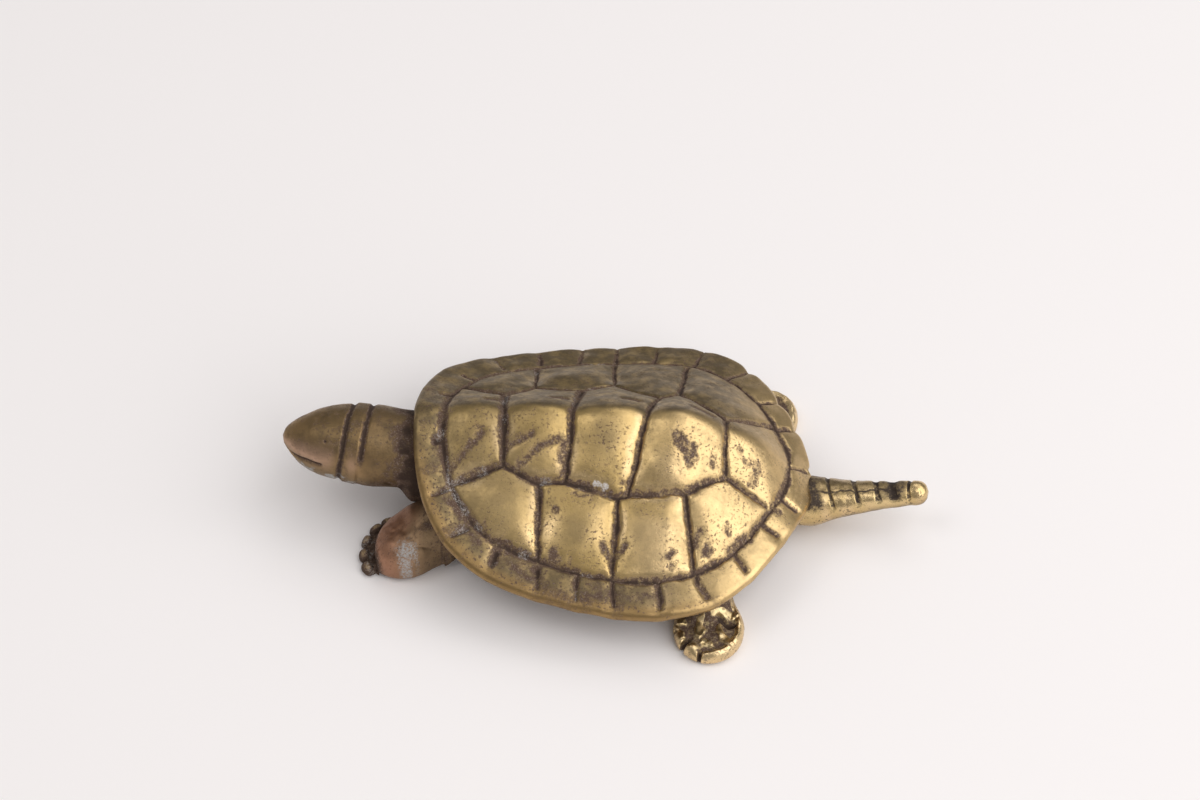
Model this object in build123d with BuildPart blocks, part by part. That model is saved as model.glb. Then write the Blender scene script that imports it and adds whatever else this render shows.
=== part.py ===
# Cast brass turtle figurine: upper shell, lower body, head with neck, four legs and tail.
# The limbs, neck and tail are castings whose tenons sit in sockets of the lower body's wall.
# Frame: +X toward the head, +Y to the turtle's left, +Z up, ground at z = 0. Sizes in mm.
import os
from math import atan2, cos, degrees, exp, hypot, pi, radians, sin, sqrt

from build123d import *

os.makedirs("parts", exist_ok=True)

# Overall size and fits
overall_length = 77.6
fit_clearance = 0.06
seat_gap = 0.05

# Upper shell: plan outline and heights
shell_length = 47.6
shell_width = 42.6
shell_center_x = -3.1
side_rim_height = 7.2
back_rise = 11.3
front_drop = 1.7
rear_drop = 11.7
flank_drop = 20.9
flank_reach = 25.4
keel_round = 2.2
shell_wall = 1.5
lip_thickness = 2.1
lip_width = 1.7

# Scute seams cut in the upper shell
seam_width = 0.8
seam_depth = 0.45
marginal_scale_x = 0.865
marginal_scale_y = 0.80
marginals_per_side = 11
first_marginal_angle = 20.0
last_marginal_angle = 155.0
marginal_reach = 0.955

# Lower body
belly_height = 2.3
belly_thickness = 1.6
body_wall = 1.7
body_scale = 0.80
belly_scale = 0.68
waist_height = 6.2
belly_seam_width = 0.7
belly_seam_depth = 0.4

# Head and neck, lengths measured back from the tip of the snout
head_tip_height = 11.2
neck_root_height = 9.1
head_half_width = 4.55
cheek_half_width = 3.62
cheek_reach = 4.0
snout_half_width = 1.85
snout_reach = 1.25
collar_half_width = 5.0
neck_half_width = 4.95
neck_root_half_width = 4.7
collar_front = 7.5
collar_length = 2.4
ring_groove = 0.5
ring_depth = 0.3
neck_tenon_radius = 2.7
mouth_gap = 0.4
mouth_reach = 4.6
mouth_drop = 0.5
eye_radius = 0.7

# Tail, lengths measured back from its tip
tail_tip_height = 6.3
tail_root_height = 3.9
tail_tip_radius = 1.45
tail_root_radius = 3.1
tail_flare = 14.5
tail_tenon_radius = 1.1
tail_groove = 0.45
tail_groove_depth = 0.2
tail_first_ring = 2.1
tail_ring_pitch = 2.3
tail_rings = 5

# Legs
leg_tenon_radius = 1.5
front_leg_radius = 3.9
front_ankle_radius = 3.2
hind_leg_radius = 2.6
hind_ankle_radius = 2.5
front_foot_radius = 4.1
hind_foot_radius = 4.35
foot_height = 2.2
foot_edge = 1.5
lobe_half_width = 4.1
lobe_half_length = 4.8
lobe_half_height = 2.7
lobe_setback = 1.6
toe_radius = 0.85
front_toes = 5
front_toe_step = 25.0
front_toe_reach = 4.5
toe_slots = 2
toe_slot_step = 36.0
toe_slot_width = 0.6
toe_slot_depth = 1.2
stance_half_width = 22.7
front_left_heading = -6.0
front_right_heading = -40.0
hind_left_heading = 61.0
hind_right_heading = -61.0

# Derived sizes
half_length = shell_length / 2
half_width = shell_width / 2
head_tip_x = overall_length / 2
tail_tip_x = -overall_length / 2
tenon_length = body_wall + 2.4
front_end = half_length * 1.08
rear_end = half_length * 0.92


# Plan outline of the shell at a given fraction of its size: an ellipse filled out at the shoulders
def outline_point(angle, scale_x, scale_y):
    x = half_length * scale_x * (cos(angle) + 0.08 * cos(2 * angle))
    y = half_width * scale_y * (sin(angle) + 0.095 * sin(2 * angle) + 0.054 * sin(4 * angle))
    return (shell_center_x + x, y)


def outline_points(scale_x, scale_y, count=40):
    return [outline_point(2 * pi * i / count, scale_x, scale_y) for i in range(count)]


# Height of the shell's back: a keel line falling to the front and rear, less the drop of the flanks
def back_height(x, y):
    u = x - shell_center_x
    crest = -0.2 * half_length
    run = u - crest
    if run > 0:
        keel = back_rise - front_drop * (run / (front_end - crest)) ** 2.25
    else:
        keel = back_rise - rear_drop * (-run / (rear_end + crest)) ** 1.85
    if u > 0:
        share = 1 - 0.33 * (u / front_end) ** 4
    else:
        share = 1 - 1.07 * (-u / rear_end) ** 3
    side = sqrt(y * y + keel_round**2) - keel_round
    return side_rim_height + keel - share * flank_drop * (1 - exp(-side / flank_reach))


def back_grid(rows=33, columns=33):
    low = shell_center_x - rear_end - 0.6
    high = shell_center_x + front_end + 0.6
    side = half_width + 0.8
    grid = []
    for i in range(rows):
        x = low + (high - low) * i / (rows - 1)
        line = []
        for j in range(columns):
            s = 2 * j / (columns - 1) - 1
            y = side * (0.55 * s + 0.45 * s**3)
            line.append((x, y, back_height(x, y)))
        grid.append(line)
    return grid


def at_shell(fraction):
    return (shell_center_x + half_length * fraction[0], half_width * fraction[1])


back_surface = Face.make_surface_from_array_of_points(back_grid(), tol=0.02, min_deg=3, max_deg=5)

# Scute seam corners as fractions of the shell's half length and half width, from the head to the tail
left_row = [(0.88, 0.37), (0.61, 0.26), (0.43, 0.34), (0.31, 0.33), (0.04, 0.40),
            (-0.01, 0.38), (-0.29, 0.36), (-0.48, 0.235), (-0.69, 0.30)]
right_row = [(0.89, -0.345), (0.65, -0.225), (0.51, -0.37), (0.27, -0.34), (0.11, -0.45),
             (-0.13, -0.265), (-0.22, -0.36), (-0.46, -0.11), (-0.63, -0.245)]
cross_rows = [1, 3, 5, 7]
left_ends = {2: (0.41, 0.775), 4: (0.045, 0.80), 6: (-0.345, 0.745)}
right_ends = {2: (0.54, -0.77), 4: (0.135, -0.815), 6: (-0.25, -0.765)}

seam_lines = [left_row, right_row]
for k in cross_rows:
    seam_lines.append([left_row[k], right_row[k]])
for k in left_ends:
    seam_lines.append([left_row[k], left_ends[k]])
    seam_lines.append([right_row[k], right_ends[k]])

marginal_angles = [180.0]
for k in range(marginals_per_side):
    step = (last_marginal_angle - first_marginal_angle) / (marginals_per_side - 1)
    marginal_angles.append(first_marginal_angle + step * k)
    marginal_angles.append(-first_marginal_angle - step * k)



# A straight plan strip from one point to another
def strip(p, q, width):
    turn = degrees(atan2(q[1] - p[1], q[0] - p[0]))
    with Locations(Location(((p[0] + q[0]) / 2, (p[1] + q[1]) / 2, 0), (0, 0, turn))):
        Rectangle(hypot(q[0] - p[0], q[1] - p[1]), width)


# Seam cutters: plan strips and the ring round the marginals, limited to a thin layer under the back
ring_half = seam_width / 2 / half_width
with BuildPart() as seam_cutter:
    with BuildSketch(Plane.XY):
        with BuildLine():
            Spline(outline_points(marginal_scale_x + ring_half, marginal_scale_y + ring_half), periodic=True)
        make_face()
        with BuildLine():
            Spline(outline_points(marginal_scale_x - ring_half, marginal_scale_y - ring_half), periodic=True)
        make_face(mode=Mode.SUBTRACT)
        for line in seam_lines:
            for start, end in zip(line[:-1], line[1:]):
                strip(at_shell(start), at_shell(end), seam_width)
        for corner in left_row + right_row:
            with Locations(at_shell(corner)):
                Circle(0.6 * seam_width)
        for angle in marginal_angles:
            inner = outline_point(radians(angle), marginal_scale_x, marginal_scale_y)
            outer = outline_point(radians(angle), marginal_reach, marginal_reach)
            strip(inner, outer, seam_width)
    extrude(amount=side_rim_height + back_rise + 4)
    lid = back_surface.moved(Location((0, 0, 1)))
    extrude(to_extrude=lid, amount=1 + seam_depth, dir=(0, 0, -1), mode=Mode.INTERSECT)

# Room under the back, inside the lip
with BuildPart() as under_cut:
    with BuildSketch(Plane.XY):
        with BuildLine():
            Spline(outline_points(1 - lip_width / half_width, 1 - lip_width / half_width), periodic=True)
        make_face()
    extrude(amount=side_rim_height + back_rise + 4)
    under = back_surface.moved(Location((0, 0, -shell_wall)))
    extrude(to_extrude=under, amount=2, dir=(0, 0, -1), mode=Mode.INTERSECT)

# Space taken by the shell's rim, grown by the seat gap: the tail and the legs pass under it
with BuildPart() as rim_space:
    with BuildSketch(Plane.XY):
        with BuildLine():
            Spline(outline_points(1 + seat_gap / half_width, 1 + seat_gap / half_width), periodic=True)
        make_face()
    extrude(amount=side_rim_height + back_rise + 8)
    rim_under = back_surface.moved(Location((0, 0, -lip_thickness - seat_gap)))
    extrude(to_extrude=rim_under, amount=back_rise + 10, dir=(0, 0, 1), mode=Mode.INTERSECT)

# Upper shell
with BuildPart() as carapace:
    with BuildSketch(Plane.XY):
        with BuildLine():
            Spline(outline_points(1, 1), periodic=True)
        make_face()
    extrude(amount=side_rim_height + back_rise + 4)
    extrude(to_extrude=back_surface, amount=lip_thickness, dir=(0, 0, -1), mode=Mode.INTERSECT)
    add(under_cut.part, mode=Mode.SUBTRACT)
    add(seam_cutter.part, mode=Mode.SUBTRACT)
carapace.part.label = "carapace"
export_step(carapace.part, "parts/carapace.step")


# Plan face of the body at a height, as a fraction of the shell outline less a margin
def body_face(scale, height, margin):
    keep = scale - margin / half_width
    with BuildSketch(Plane.XY.offset(height)) as face:
        with BuildLine():
            Spline(outline_points(keep, keep, 24), periodic=True)
        make_face()
    return face.sketch


# Outer form of the lower body, grown by the seat gap: the limbs are cut back to it
with BuildPart() as body_form:
    loft([body_face(belly_scale, belly_height, -seat_gap), body_face(body_scale, waist_height, -seat_gap)])
    extrude(body_face(body_scale, waist_height, -seat_gap), amount=back_rise + 2)


# Points of a limb: where its axis meets the body and where it ends, both in the shell's proportions
def limb_point(fraction, height):
    x, y = at_shell(fraction)
    return Vector(x, y, height)


front_left_root = limb_point((0.66, 0.43), 6.6)
front_left_foot = limb_point((1.14, 0.39), 2.0)
front_right_root = limb_point((0.46, -0.66), 5.4)
front_right_foot = Vector(shell_center_x + 0.58 * half_length,
                          front_toe_reach + toe_radius - stance_half_width, 2.0)
hind_left_root = limb_point((-0.42, 0.64), 5.4)
hind_left_foot = Vector(shell_center_x - 0.435 * half_length, stance_half_width - hind_foot_radius, 2.0)
hind_right_root = limb_point((-0.56, -0.52), 5.4)
hind_right_foot = limb_point((-0.74, -0.73), 2.0)
neck_root = Vector(shell_center_x + 0.80 * half_length, 0, neck_root_height)
snout = Vector(head_tip_x, 0, head_tip_height)
tail_root = Vector(shell_center_x - 0.60 * half_length, 0, tail_root_height)
tail_end = Vector(tail_tip_x, 0, tail_tip_height)


# Plane at the start of an axis with its Z along the axis
def axis_plane(start, end):
    return Plane(origin=start, x_dir=(0, 0, 1) if abs((end - start).normalized().Z) < 0.9 else (1, 0, 0),
                 z_dir=(end - start).normalized())


sockets = [
    (neck_root, snout, neck_tenon_radius),
    (tail_root, tail_end, tail_tenon_radius),
    (front_left_root, front_left_foot, leg_tenon_radius),
    (front_right_root, front_right_foot, leg_tenon_radius),
    (hind_left_root, hind_left_foot, leg_tenon_radius),
    (hind_right_root, hind_right_foot, leg_tenon_radius),
]

# Space above the underside of the back, where the lower body stops
with BuildPart() as above_body:
    ceiling = back_surface.moved(Location((0, 0, -shell_wall - seat_gap)))
    extrude(to_extrude=ceiling, amount=back_rise + 8, dir=(0, 0, 1))

# Lower body: belly plate and wall, open above, with a socket for each limb
with BuildPart() as plastron:
    loft([body_face(belly_scale, belly_height, 0), body_face(body_scale, waist_height, 0)])
    extrude(body_face(body_scale, waist_height, 0), amount=back_rise + 2)
    pocket_floor = belly_height + belly_thickness
    low_scale = belly_scale + (body_scale - belly_scale) * belly_thickness / (waist_height - belly_height)
    loft([body_face(low_scale, pocket_floor, body_wall), body_face(body_scale, waist_height, body_wall)],
         mode=Mode.SUBTRACT)
    extrude(body_face(body_scale, waist_height, body_wall), amount=back_rise + 3, mode=Mode.SUBTRACT)
    for start, end, radius in sockets:
        with Locations(axis_plane(start, end)):
            Cylinder(radius + fit_clearance, 2 * tenon_length, mode=Mode.SUBTRACT)
    add(above_body.part, mode=Mode.SUBTRACT)
    with BuildSketch(Plane.XY.offset(belly_height)):
        strip(at_shell((0.66, 0)), (tail_root.X + tenon_length + belly_seam_width, 0), belly_seam_width)
        for place in (0.45, 0.2, -0.05, -0.3):
            strip(at_shell((place, 0.52)), at_shell((place, -0.52)), belly_seam_width)
    extrude(amount=belly_seam_depth, mode=Mode.SUBTRACT)
plastron.part.label = "plastron"
export_step(plastron.part, "parts/plastron.step")

# Head with neck: a pointed head, a collar band between two ring grooves, and a plain neck
neck_span = (snout - neck_root).length
head_plane = Plane(origin=snout, x_dir=(neck_root - snout).normalized(), z_dir=(0, 1, 0))
collar_back = collar_front + collar_length

# Mouth: a level slot round the snout, left shallow by a core
with BuildPart() as mouth_cutter:
    with Locations(snout + Vector(0.5 - mouth_reach / 2, 0, -mouth_drop)):
        Box(mouth_reach + 1, 3 * head_half_width, mouth_gap)
    with Locations(axis_plane(snout + (neck_root - snout).normalized() * 0.5, neck_root)):
        Cone(0.8, cheek_half_width - 0.3, mouth_reach, align=(Align.CENTER, Align.CENTER, Align.MIN),
             mode=Mode.SUBTRACT)

with BuildPart() as head_and_neck:
    with BuildSketch(head_plane):
        with BuildLine():
            Spline((0, 0), (snout_reach, snout_half_width), (cheek_reach, cheek_half_width),
                   (collar_front - ring_groove / 2, head_half_width), tangents=((0, 1), (1, 0.2)))
            Polyline((collar_front - ring_groove / 2, head_half_width),
                     (collar_front, head_half_width - ring_depth),
                     (collar_front + ring_groove / 2, collar_half_width - 0.2))
            ThreePointArc((collar_front + ring_groove / 2, collar_half_width - 0.2),
                          (collar_front + collar_length / 2, collar_half_width),
                          (collar_back - ring_groove / 2, collar_half_width))
            Polyline((collar_back - ring_groove / 2, collar_half_width),
                     (collar_back, neck_half_width - ring_depth),
                     (collar_back + ring_groove / 2, neck_half_width))
            Spline((collar_back + ring_groove / 2, neck_half_width), (neck_span, neck_root_half_width),
                   tangents=((1, 0), (1, 0)))
            Polyline((neck_span, neck_root_half_width), (neck_span, 0), (0, 0))
        make_face()
    revolve(axis=Axis(snout, neck_root - snout), revolution_arc=360)
    add(body_form.part, mode=Mode.SUBTRACT)
    with Locations(axis_plane(neck_root, snout)):
        Cylinder(neck_tenon_radius, 2 * tenon_length)
    add(mouth_cutter.part, mode=Mode.SUBTRACT)
    for hand in (1, -1):
        with Locations(head_plane.from_local_coords((5.0, 0.78 * cheek_half_width + 0.1, 0)) +
                       Vector(0, hand * 0.65 * cheek_half_width + hand * 0.1, 0)):
            Sphere(eye_radius, mode=Mode.SUBTRACT)
head_and_neck.part.label = "head_and_neck"
export_step(head_and_neck.part, "parts/head_and_neck.step")

# Tail: a taper with a domed tip and ring grooves
tail_span = (tail_end - tail_root).length
tail_plane = Plane(origin=tail_end, x_dir=(tail_root - tail_end).normalized(), z_dir=(0, 1, 0))


def tail_radius(s):
    return tail_tip_radius + (tail_root_radius - tail_tip_radius) * min(1, s / tail_flare) ** 2


with BuildPart() as tail:
    with BuildSketch(tail_plane):
        with BuildLine():
            edge = [(tail_tip_radius, tail_tip_radius)]
            for k in range(tail_rings):
                s = tail_first_ring + tail_ring_pitch * k
                edge.append((s - tail_groove / 2, tail_radius(s)))
                edge.append((s, tail_radius(s) - tail_groove_depth))
                edge.append((s + tail_groove / 2, tail_radius(s)))
            edge.append((tail_flare - 1.2, tail_radius(tail_flare - 1.2)))
            edge.append((tail_flare, tail_root_radius))
            edge.append((tail_span, tail_root_radius))
            edge.append((tail_span, 0))
            edge.append((0, 0))
            ThreePointArc((0, 0), (tail_tip_radius * 0.293, tail_tip_radius * 0.707), edge[0])
            Polyline(*edge)
        make_face()
    revolve(axis=Axis(tail_end, tail_root - tail_end), revolution_arc=360)
    add(body_form.part, mode=Mode.SUBTRACT)
    add(rim_space.part, mode=Mode.SUBTRACT)
    with Locations(axis_plane(tail_root, tail_end)):
        Cylinder(tail_tenon_radius, 2 * tenon_length)
tail.part.label = "tail"
export_step(tail.part, "parts/tail.step")


# Half outline of a foot: a low dome with a rounded edge, drawn from its sole
def foot_outline(radius):
    with BuildSketch(Plane.XZ) as half:
        with BuildLine():
            Line((0, 0), (radius - 0.5, 0))
            ThreePointArc((radius - 0.5, 0), (radius, foot_edge / 2), (radius - 0.3, foot_edge))
            ThreePointArc((radius - 0.3, foot_edge), (radius * 0.62, foot_height * 0.95), (0, foot_height))
            Line((0, foot_height), (0, 0))
        make_face()
    return half.sketch


# Places round a foot's edge, fanned about a heading in degrees: the toes and the slots between toes
def fan_spots(foot, heading, count, step, reach, height):
    spots = []
    for k in range(count):
        angle = heading + step * (k - (count - 1) / 2)
        turn = radians(angle)
        spots.append(Location((foot.X + reach * cos(turn), foot.Y + reach * sin(turn), height), (0, 0, angle)))
    return spots


# Middle of the rounded end of a front leg, set back from the foot along its heading
def lobe_spot(foot, heading):
    turn = radians(heading)
    return Location((foot.X - lobe_setback * cos(turn), foot.Y - lobe_setback * sin(turn), lobe_half_height),
                    (0, 0, heading))


front_foot_dome = revolve(foot_outline(front_foot_radius), axis=Axis.Z, revolution_arc=360)
hind_foot_dome = revolve(foot_outline(hind_foot_radius), axis=Axis.Z, revolution_arc=360)

# Rounded end of a front leg: a low oval dome that rests on the foot
with BuildPart() as front_lobe:
    Sphere(1)
    scale(by=(lobe_half_width, lobe_half_length, lobe_half_height))

with BuildPart() as front_left_leg:
    with Locations(axis_plane(front_left_root, front_left_foot)):
        Cone(front_leg_radius, front_ankle_radius, (front_left_foot - front_left_root).length,
             align=(Align.CENTER, Align.CENTER, Align.MIN))
    with Locations(Location((front_left_foot.X, front_left_foot.Y, 0), (0, 0, front_left_heading + 180))):
        add(front_foot_dome)
    with Locations(lobe_spot(front_left_foot, front_left_heading)):
        add(front_lobe.part)
    with Locations(*fan_spots(front_left_foot, front_left_heading, front_toes, front_toe_step,
                              front_toe_reach, toe_radius * 0.8)):
        Sphere(toe_radius)
    add(body_form.part, mode=Mode.SUBTRACT)
    with Locations(axis_plane(front_left_root, front_left_foot)):
        Cylinder(leg_tenon_radius, 2 * tenon_length)
    split(bisect_by=Plane.XY, keep=Keep.TOP)
front_left_leg.part.label = "front_left_leg"
export_step(front_left_leg.part, "parts/front_left_leg.step")

with BuildPart() as front_right_leg:
    with Locations(axis_plane(front_right_root, front_right_foot)):
        Cone(hind_leg_radius, hind_ankle_radius, (front_right_foot - front_right_root).length,
             align=(Align.CENTER, Align.CENTER, Align.MIN))
    with Locations(Location((front_right_foot.X, front_right_foot.Y, 0), (0, 0, front_right_heading + 180))):
        add(front_foot_dome)
    with Locations(lobe_spot(front_right_foot, front_right_heading)):
        add(front_lobe.part)
    with Locations(*fan_spots(front_right_foot, front_right_heading, front_toes, front_toe_step,
                              front_toe_reach, toe_radius * 0.8)):
        Sphere(toe_radius)
    add(body_form.part, mode=Mode.SUBTRACT)
    add(rim_space.part, mode=Mode.SUBTRACT)
    with Locations(axis_plane(front_right_root, front_right_foot)):
        Cylinder(leg_tenon_radius, 2 * tenon_length)
    split(bisect_by=Plane.XY, keep=Keep.TOP)
front_right_leg.part.label = "front_right_leg"
export_step(front_right_leg.part, "parts/front_right_leg.step")

with BuildPart() as hind_left_leg:
    with Locations(axis_plane(hind_left_root, hind_left_foot)):
        Cone(hind_leg_radius, hind_ankle_radius, (hind_left_foot - hind_left_root).length,
             align=(Align.CENTER, Align.CENTER, Align.MIN))
    with Locations(Location((hind_left_foot.X, hind_left_foot.Y, 0), (0, 0, hind_left_heading + 180))):
        add(hind_foot_dome)
    with Locations(*fan_spots(hind_left_foot, hind_left_heading, toe_slots, toe_slot_step,
                              hind_foot_radius, foot_edge / 2)):
        Box(2 * toe_slot_depth, toe_slot_width, 3 * foot_height, mode=Mode.SUBTRACT)
    add(body_form.part, mode=Mode.SUBTRACT)
    add(rim_space.part, mode=Mode.SUBTRACT)
    with Locations(axis_plane(hind_left_root, hind_left_foot)):
        Cylinder(leg_tenon_radius, 2 * tenon_length)
    split(bisect_by=Plane.XY, keep=Keep.TOP)
hind_left_leg.part.label = "hind_left_leg"
export_step(hind_left_leg.part, "parts/hind_left_leg.step")

with BuildPart() as hind_right_leg:
    with Locations(axis_plane(hind_right_root, hind_right_foot)):
        Cone(hind_leg_radius, hind_ankle_radius, (hind_right_foot - hind_right_root).length,
             align=(Align.CENTER, Align.CENTER, Align.MIN))
    with Locations(Location((hind_right_foot.X, hind_right_foot.Y, 0), (0, 0, hind_right_heading + 180))):
        add(hind_foot_dome)
    with Locations(*fan_spots(hind_right_foot, hind_right_heading, toe_slots, toe_slot_step,
                              hind_foot_radius, foot_edge / 2)):
        Box(2 * toe_slot_depth, toe_slot_width, 3 * foot_height, mode=Mode.SUBTRACT)
    add(body_form.part, mode=Mode.SUBTRACT)
    add(rim_space.part, mode=Mode.SUBTRACT)
    with Locations(axis_plane(hind_right_root, hind_right_foot)):
        Cylinder(leg_tenon_radius, 2 * tenon_length)
    split(bisect_by=Plane.XY, keep=Keep.TOP)
hind_right_leg.part.label = "hind_right_leg"
export_step(hind_right_leg.part, "parts/hind_right_leg.step")
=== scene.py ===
from types import SimpleNamespace
import bpy
import numpy as np
from mathutils import Matrix, Vector


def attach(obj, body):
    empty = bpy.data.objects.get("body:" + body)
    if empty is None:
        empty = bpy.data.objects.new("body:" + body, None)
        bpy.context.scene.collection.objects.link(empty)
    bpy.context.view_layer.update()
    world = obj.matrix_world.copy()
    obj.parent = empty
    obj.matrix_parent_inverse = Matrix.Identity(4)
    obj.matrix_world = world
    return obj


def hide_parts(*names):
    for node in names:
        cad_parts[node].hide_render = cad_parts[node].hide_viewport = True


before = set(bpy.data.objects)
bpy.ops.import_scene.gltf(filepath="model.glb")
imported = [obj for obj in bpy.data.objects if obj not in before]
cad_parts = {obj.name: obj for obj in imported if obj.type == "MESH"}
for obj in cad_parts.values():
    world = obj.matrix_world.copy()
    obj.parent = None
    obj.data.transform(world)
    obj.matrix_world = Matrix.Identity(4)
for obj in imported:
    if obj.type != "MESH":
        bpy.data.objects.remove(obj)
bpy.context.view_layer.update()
mm = 0.001  # the shapes below are worked out in millimetres
tiny = 1e-6  # keeps a division away from zero
circle = 2 * np.pi
print("frame loaded:", ", ".join(sorted(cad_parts)))


# S curve: 0 below low, 1 above high, 3t^2 - 2t^3 between
def ease(low, high, t):
    t = np.clip((t - low) / (high - low), 0, 1)
    return t * t * (3 - 2 * t)


# the S curve the other way up: 1 below near, 0 above far
def within(near, far, t):
    return 1 - ease(near, far, t)


# S curve up between the first two values and down between the last two
def window(riseFrom, riseTo, fallFrom, fallTo, t):
    return ease(riseFrom, riseTo, t) * within(fallFrom, fallTo, t)


# bell: e to the minus (distance over width) squared
def bell(distance, width):
    return np.exp(-(distance / width) ** 2)


# a turn folded into the half circles on both sides of zero
def fold(turn):
    return (turn + np.pi) % circle - np.pi


# bell of the turn away from a bearing in degrees
def bearingBell(turn, bearing, width):
    return bell(fold(turn - np.radians(bearing)), width)


# largest of several arrays, point by point
def highest(first, *others):
    for other in others:
        first = np.maximum(first, other)
    return first


# points of a plan raised to their heights
def raised(plan, height):
    return np.concatenate([plan, height[..., None]], -1)


lattice = dict(turn=np.array([[0.36, 0.48, -0.8], [-0.8, 0.6, 0.0], [0.48, 0.64, 0.6]]), shift=1000.0,
               steps=np.array([374761393, 668265263, 974634533]), factor=1274126177, mask=0xFFFF)


# value noise: a random height from -1 to 1 at each corner of a turned cubic lattice, blended by S curves
# inside a cell
def waver(points, size, seed):
    q = np.asarray(points, float) @ lattice["turn"] / size + lattice["shift"]
    cell = np.floor(q).astype(np.int64)
    f = q - cell
    f = f * f * (3 - 2 * f)
    total = np.zeros(q.shape[:-1])
    for corner in range(8):
        d = np.array([corner & 1, (corner >> 1) & 1, corner >> 2])
        h = (cell + d) @ lattice["steps"] + seed * lattice["factor"]
        h = (h ^ (h >> 13)) * lattice["factor"]
        h = (h ^ (h >> 16)) & lattice["mask"]
        total += (2 * h / lattice["mask"] - 1) * np.prod(np.where(d, f, 1 - f), axis=-1)
    return total


# reader for a table of named wavers, each a cell size in mm and a seed
def waverReader(points, table, seed=0):
    def read(name):
        size, step = table[name]
        return waver(points, size, seed + step)

    return read


# the straight pieces of a line through some points
def chain(points):
    return [(*start, *end) for start, end in zip(points[:-1], points[1:])]


# distance from points in the plane to the nearest of some straight pieces, each given by its two ends
def lineDistance(points, pieces):
    best = np.full(points.shape[:-1], np.inf)
    for piece in pieces:
        start, run = np.array(piece[:2], float), np.subtract(piece[2:], piece[:2])
        share = np.clip((points - start) @ run / max(run @ run, tiny), 0, 1)
        best = np.minimum(best, np.linalg.norm(points - start - share[..., None] * run, axis=-1))
    return best


# smooth distance to several lines: their distances to the power -3 are summed, and the root is taken back
def crowdDistance(points, lines):
    leastDistance = 0.05
    return sum(np.maximum(lineDistance(points, line), leastDistance) ** -3 for line in lines) ** (-1 / 3)


# closed skin: rings of points joined row to row by quads, with a fan to a middle point at each end
def skinArrays(rings):
    rows, cols = rings.shape[:2]
    points = np.vstack([rings.reshape(-1, 3), rings[0].mean(0), rings[-1].mean(0)])
    index = np.arange(rows * cols).reshape(rows, cols)
    after = np.roll(index, -1, axis=1)
    quads = np.stack([index[:-1], after[:-1], after[1:], index[1:]], -1).reshape(-1, 4)
    fans = np.vstack([np.stack([after[0], index[0], np.full(cols, rows * cols)], -1),
                      np.stack([index[-1], after[-1], np.full(cols, rows * cols + 1)], -1)])
    a, b, c = points[quads[:, 0]], points[quads[:, 1]], points[quads[:, 2]]
    if np.einsum("ij,ij->i", a, np.cross(b, c)).sum() < 0:  # the skin is inside out
        quads, fans = quads[:, ::-1], fans[:, ::-1]
    return points, quads, fans


# puts points, quads and triangles into a new mesh object at the origin
def makeObject(name, points, quads, fans):
    mesh = bpy.data.meshes.new(name)
    corners = np.concatenate([quads.ravel(), fans.ravel()])
    starts = np.concatenate([np.arange(len(quads)) * 4, len(quads) * 4 + np.arange(len(fans)) * 3])
    mesh.vertices.add(len(points))
    mesh.vertices.foreach_set("co", (points * mm).astype(np.float32).ravel())
    mesh.loops.add(len(corners))
    mesh.loops.foreach_set("vertex_index", corners.astype(np.int32))
    mesh.polygons.add(len(starts))
    mesh.polygons.foreach_set("loop_start", starts.astype(np.int32))
    mesh.polygons.foreach_set("use_smooth", np.ones(len(starts), bool))
    mesh.update(calc_edges=True)
    mesh.validate()
    piece = bpy.data.objects.new(name, mesh)
    bpy.context.scene.collection.objects.link(piece)
    return piece


# one number for each point of a mesh, for its material to read; ends are the two middle points of the fans
def mark(piece, name, values, ends):
    layer = piece.data.attributes.new(name, "FLOAT", "POINT")
    layer.data.foreach_set("value", np.clip(np.append(values, ends), 0, 1).astype(np.float32))


def dress(piece, node, finish):
    piece.data.materials.clear()
    piece.data.materials.append(finish)
    piece.data.polygons.foreach_set("material_index", np.zeros(len(piece.data.polygons), np.int32))
    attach(piece, "root")
    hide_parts(node)
    print(piece.name, "stands for", node, "with", len(piece.data.polygons), "faces")


# noises of the brass: size in mm, detail and roughness; the pits take their size from the look
brassGrain = dict(fine=(0.45, 6, 0.65), drift=(7.0, 3, 0.55), haze=(2.2, 5, 0.6), wear=(1.5, 5, 0.6),
                  cluster=(3.4, 3, 0.55), fray=(0.5, 8, 0.8), dust=(0.2, 4, 0.7), powder=(0.24, 6, 0.85),
                  pit=(4, 0.65))
# the values between which each effect grows
brassGrowth = dict(drift=(0.36, 0.64), haze=(0.44, 0.72), wear=(0.3, 0.6), pit=(0.555, 0.615),
                   fray=(0.30, 0.70), cluster=(0.46, 0.62), dirtAndPaintedLight=(0.22, 0.80), dust=(0.50, 0.68),
                   seamLine=(0.74, 0.97), powder=(0.36, 0.64), chalk=(0.3, 1.0), sheen=(0.3, 0.75),
                   full=(0.0, 1.0))
brassSurface = dict(specular=0.2, rubbedAndHighlightShare=0.6, dirtMetallic=0.1, smoother=0.06, rougher=0.08,
                    hazeRough=0.12, polishRough=0.06, dirtRough=0.35, bumpDepth=0.08, fineBump=0.6,
                    bumpLevel=0.3, dirtBump=0.3)
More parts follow.
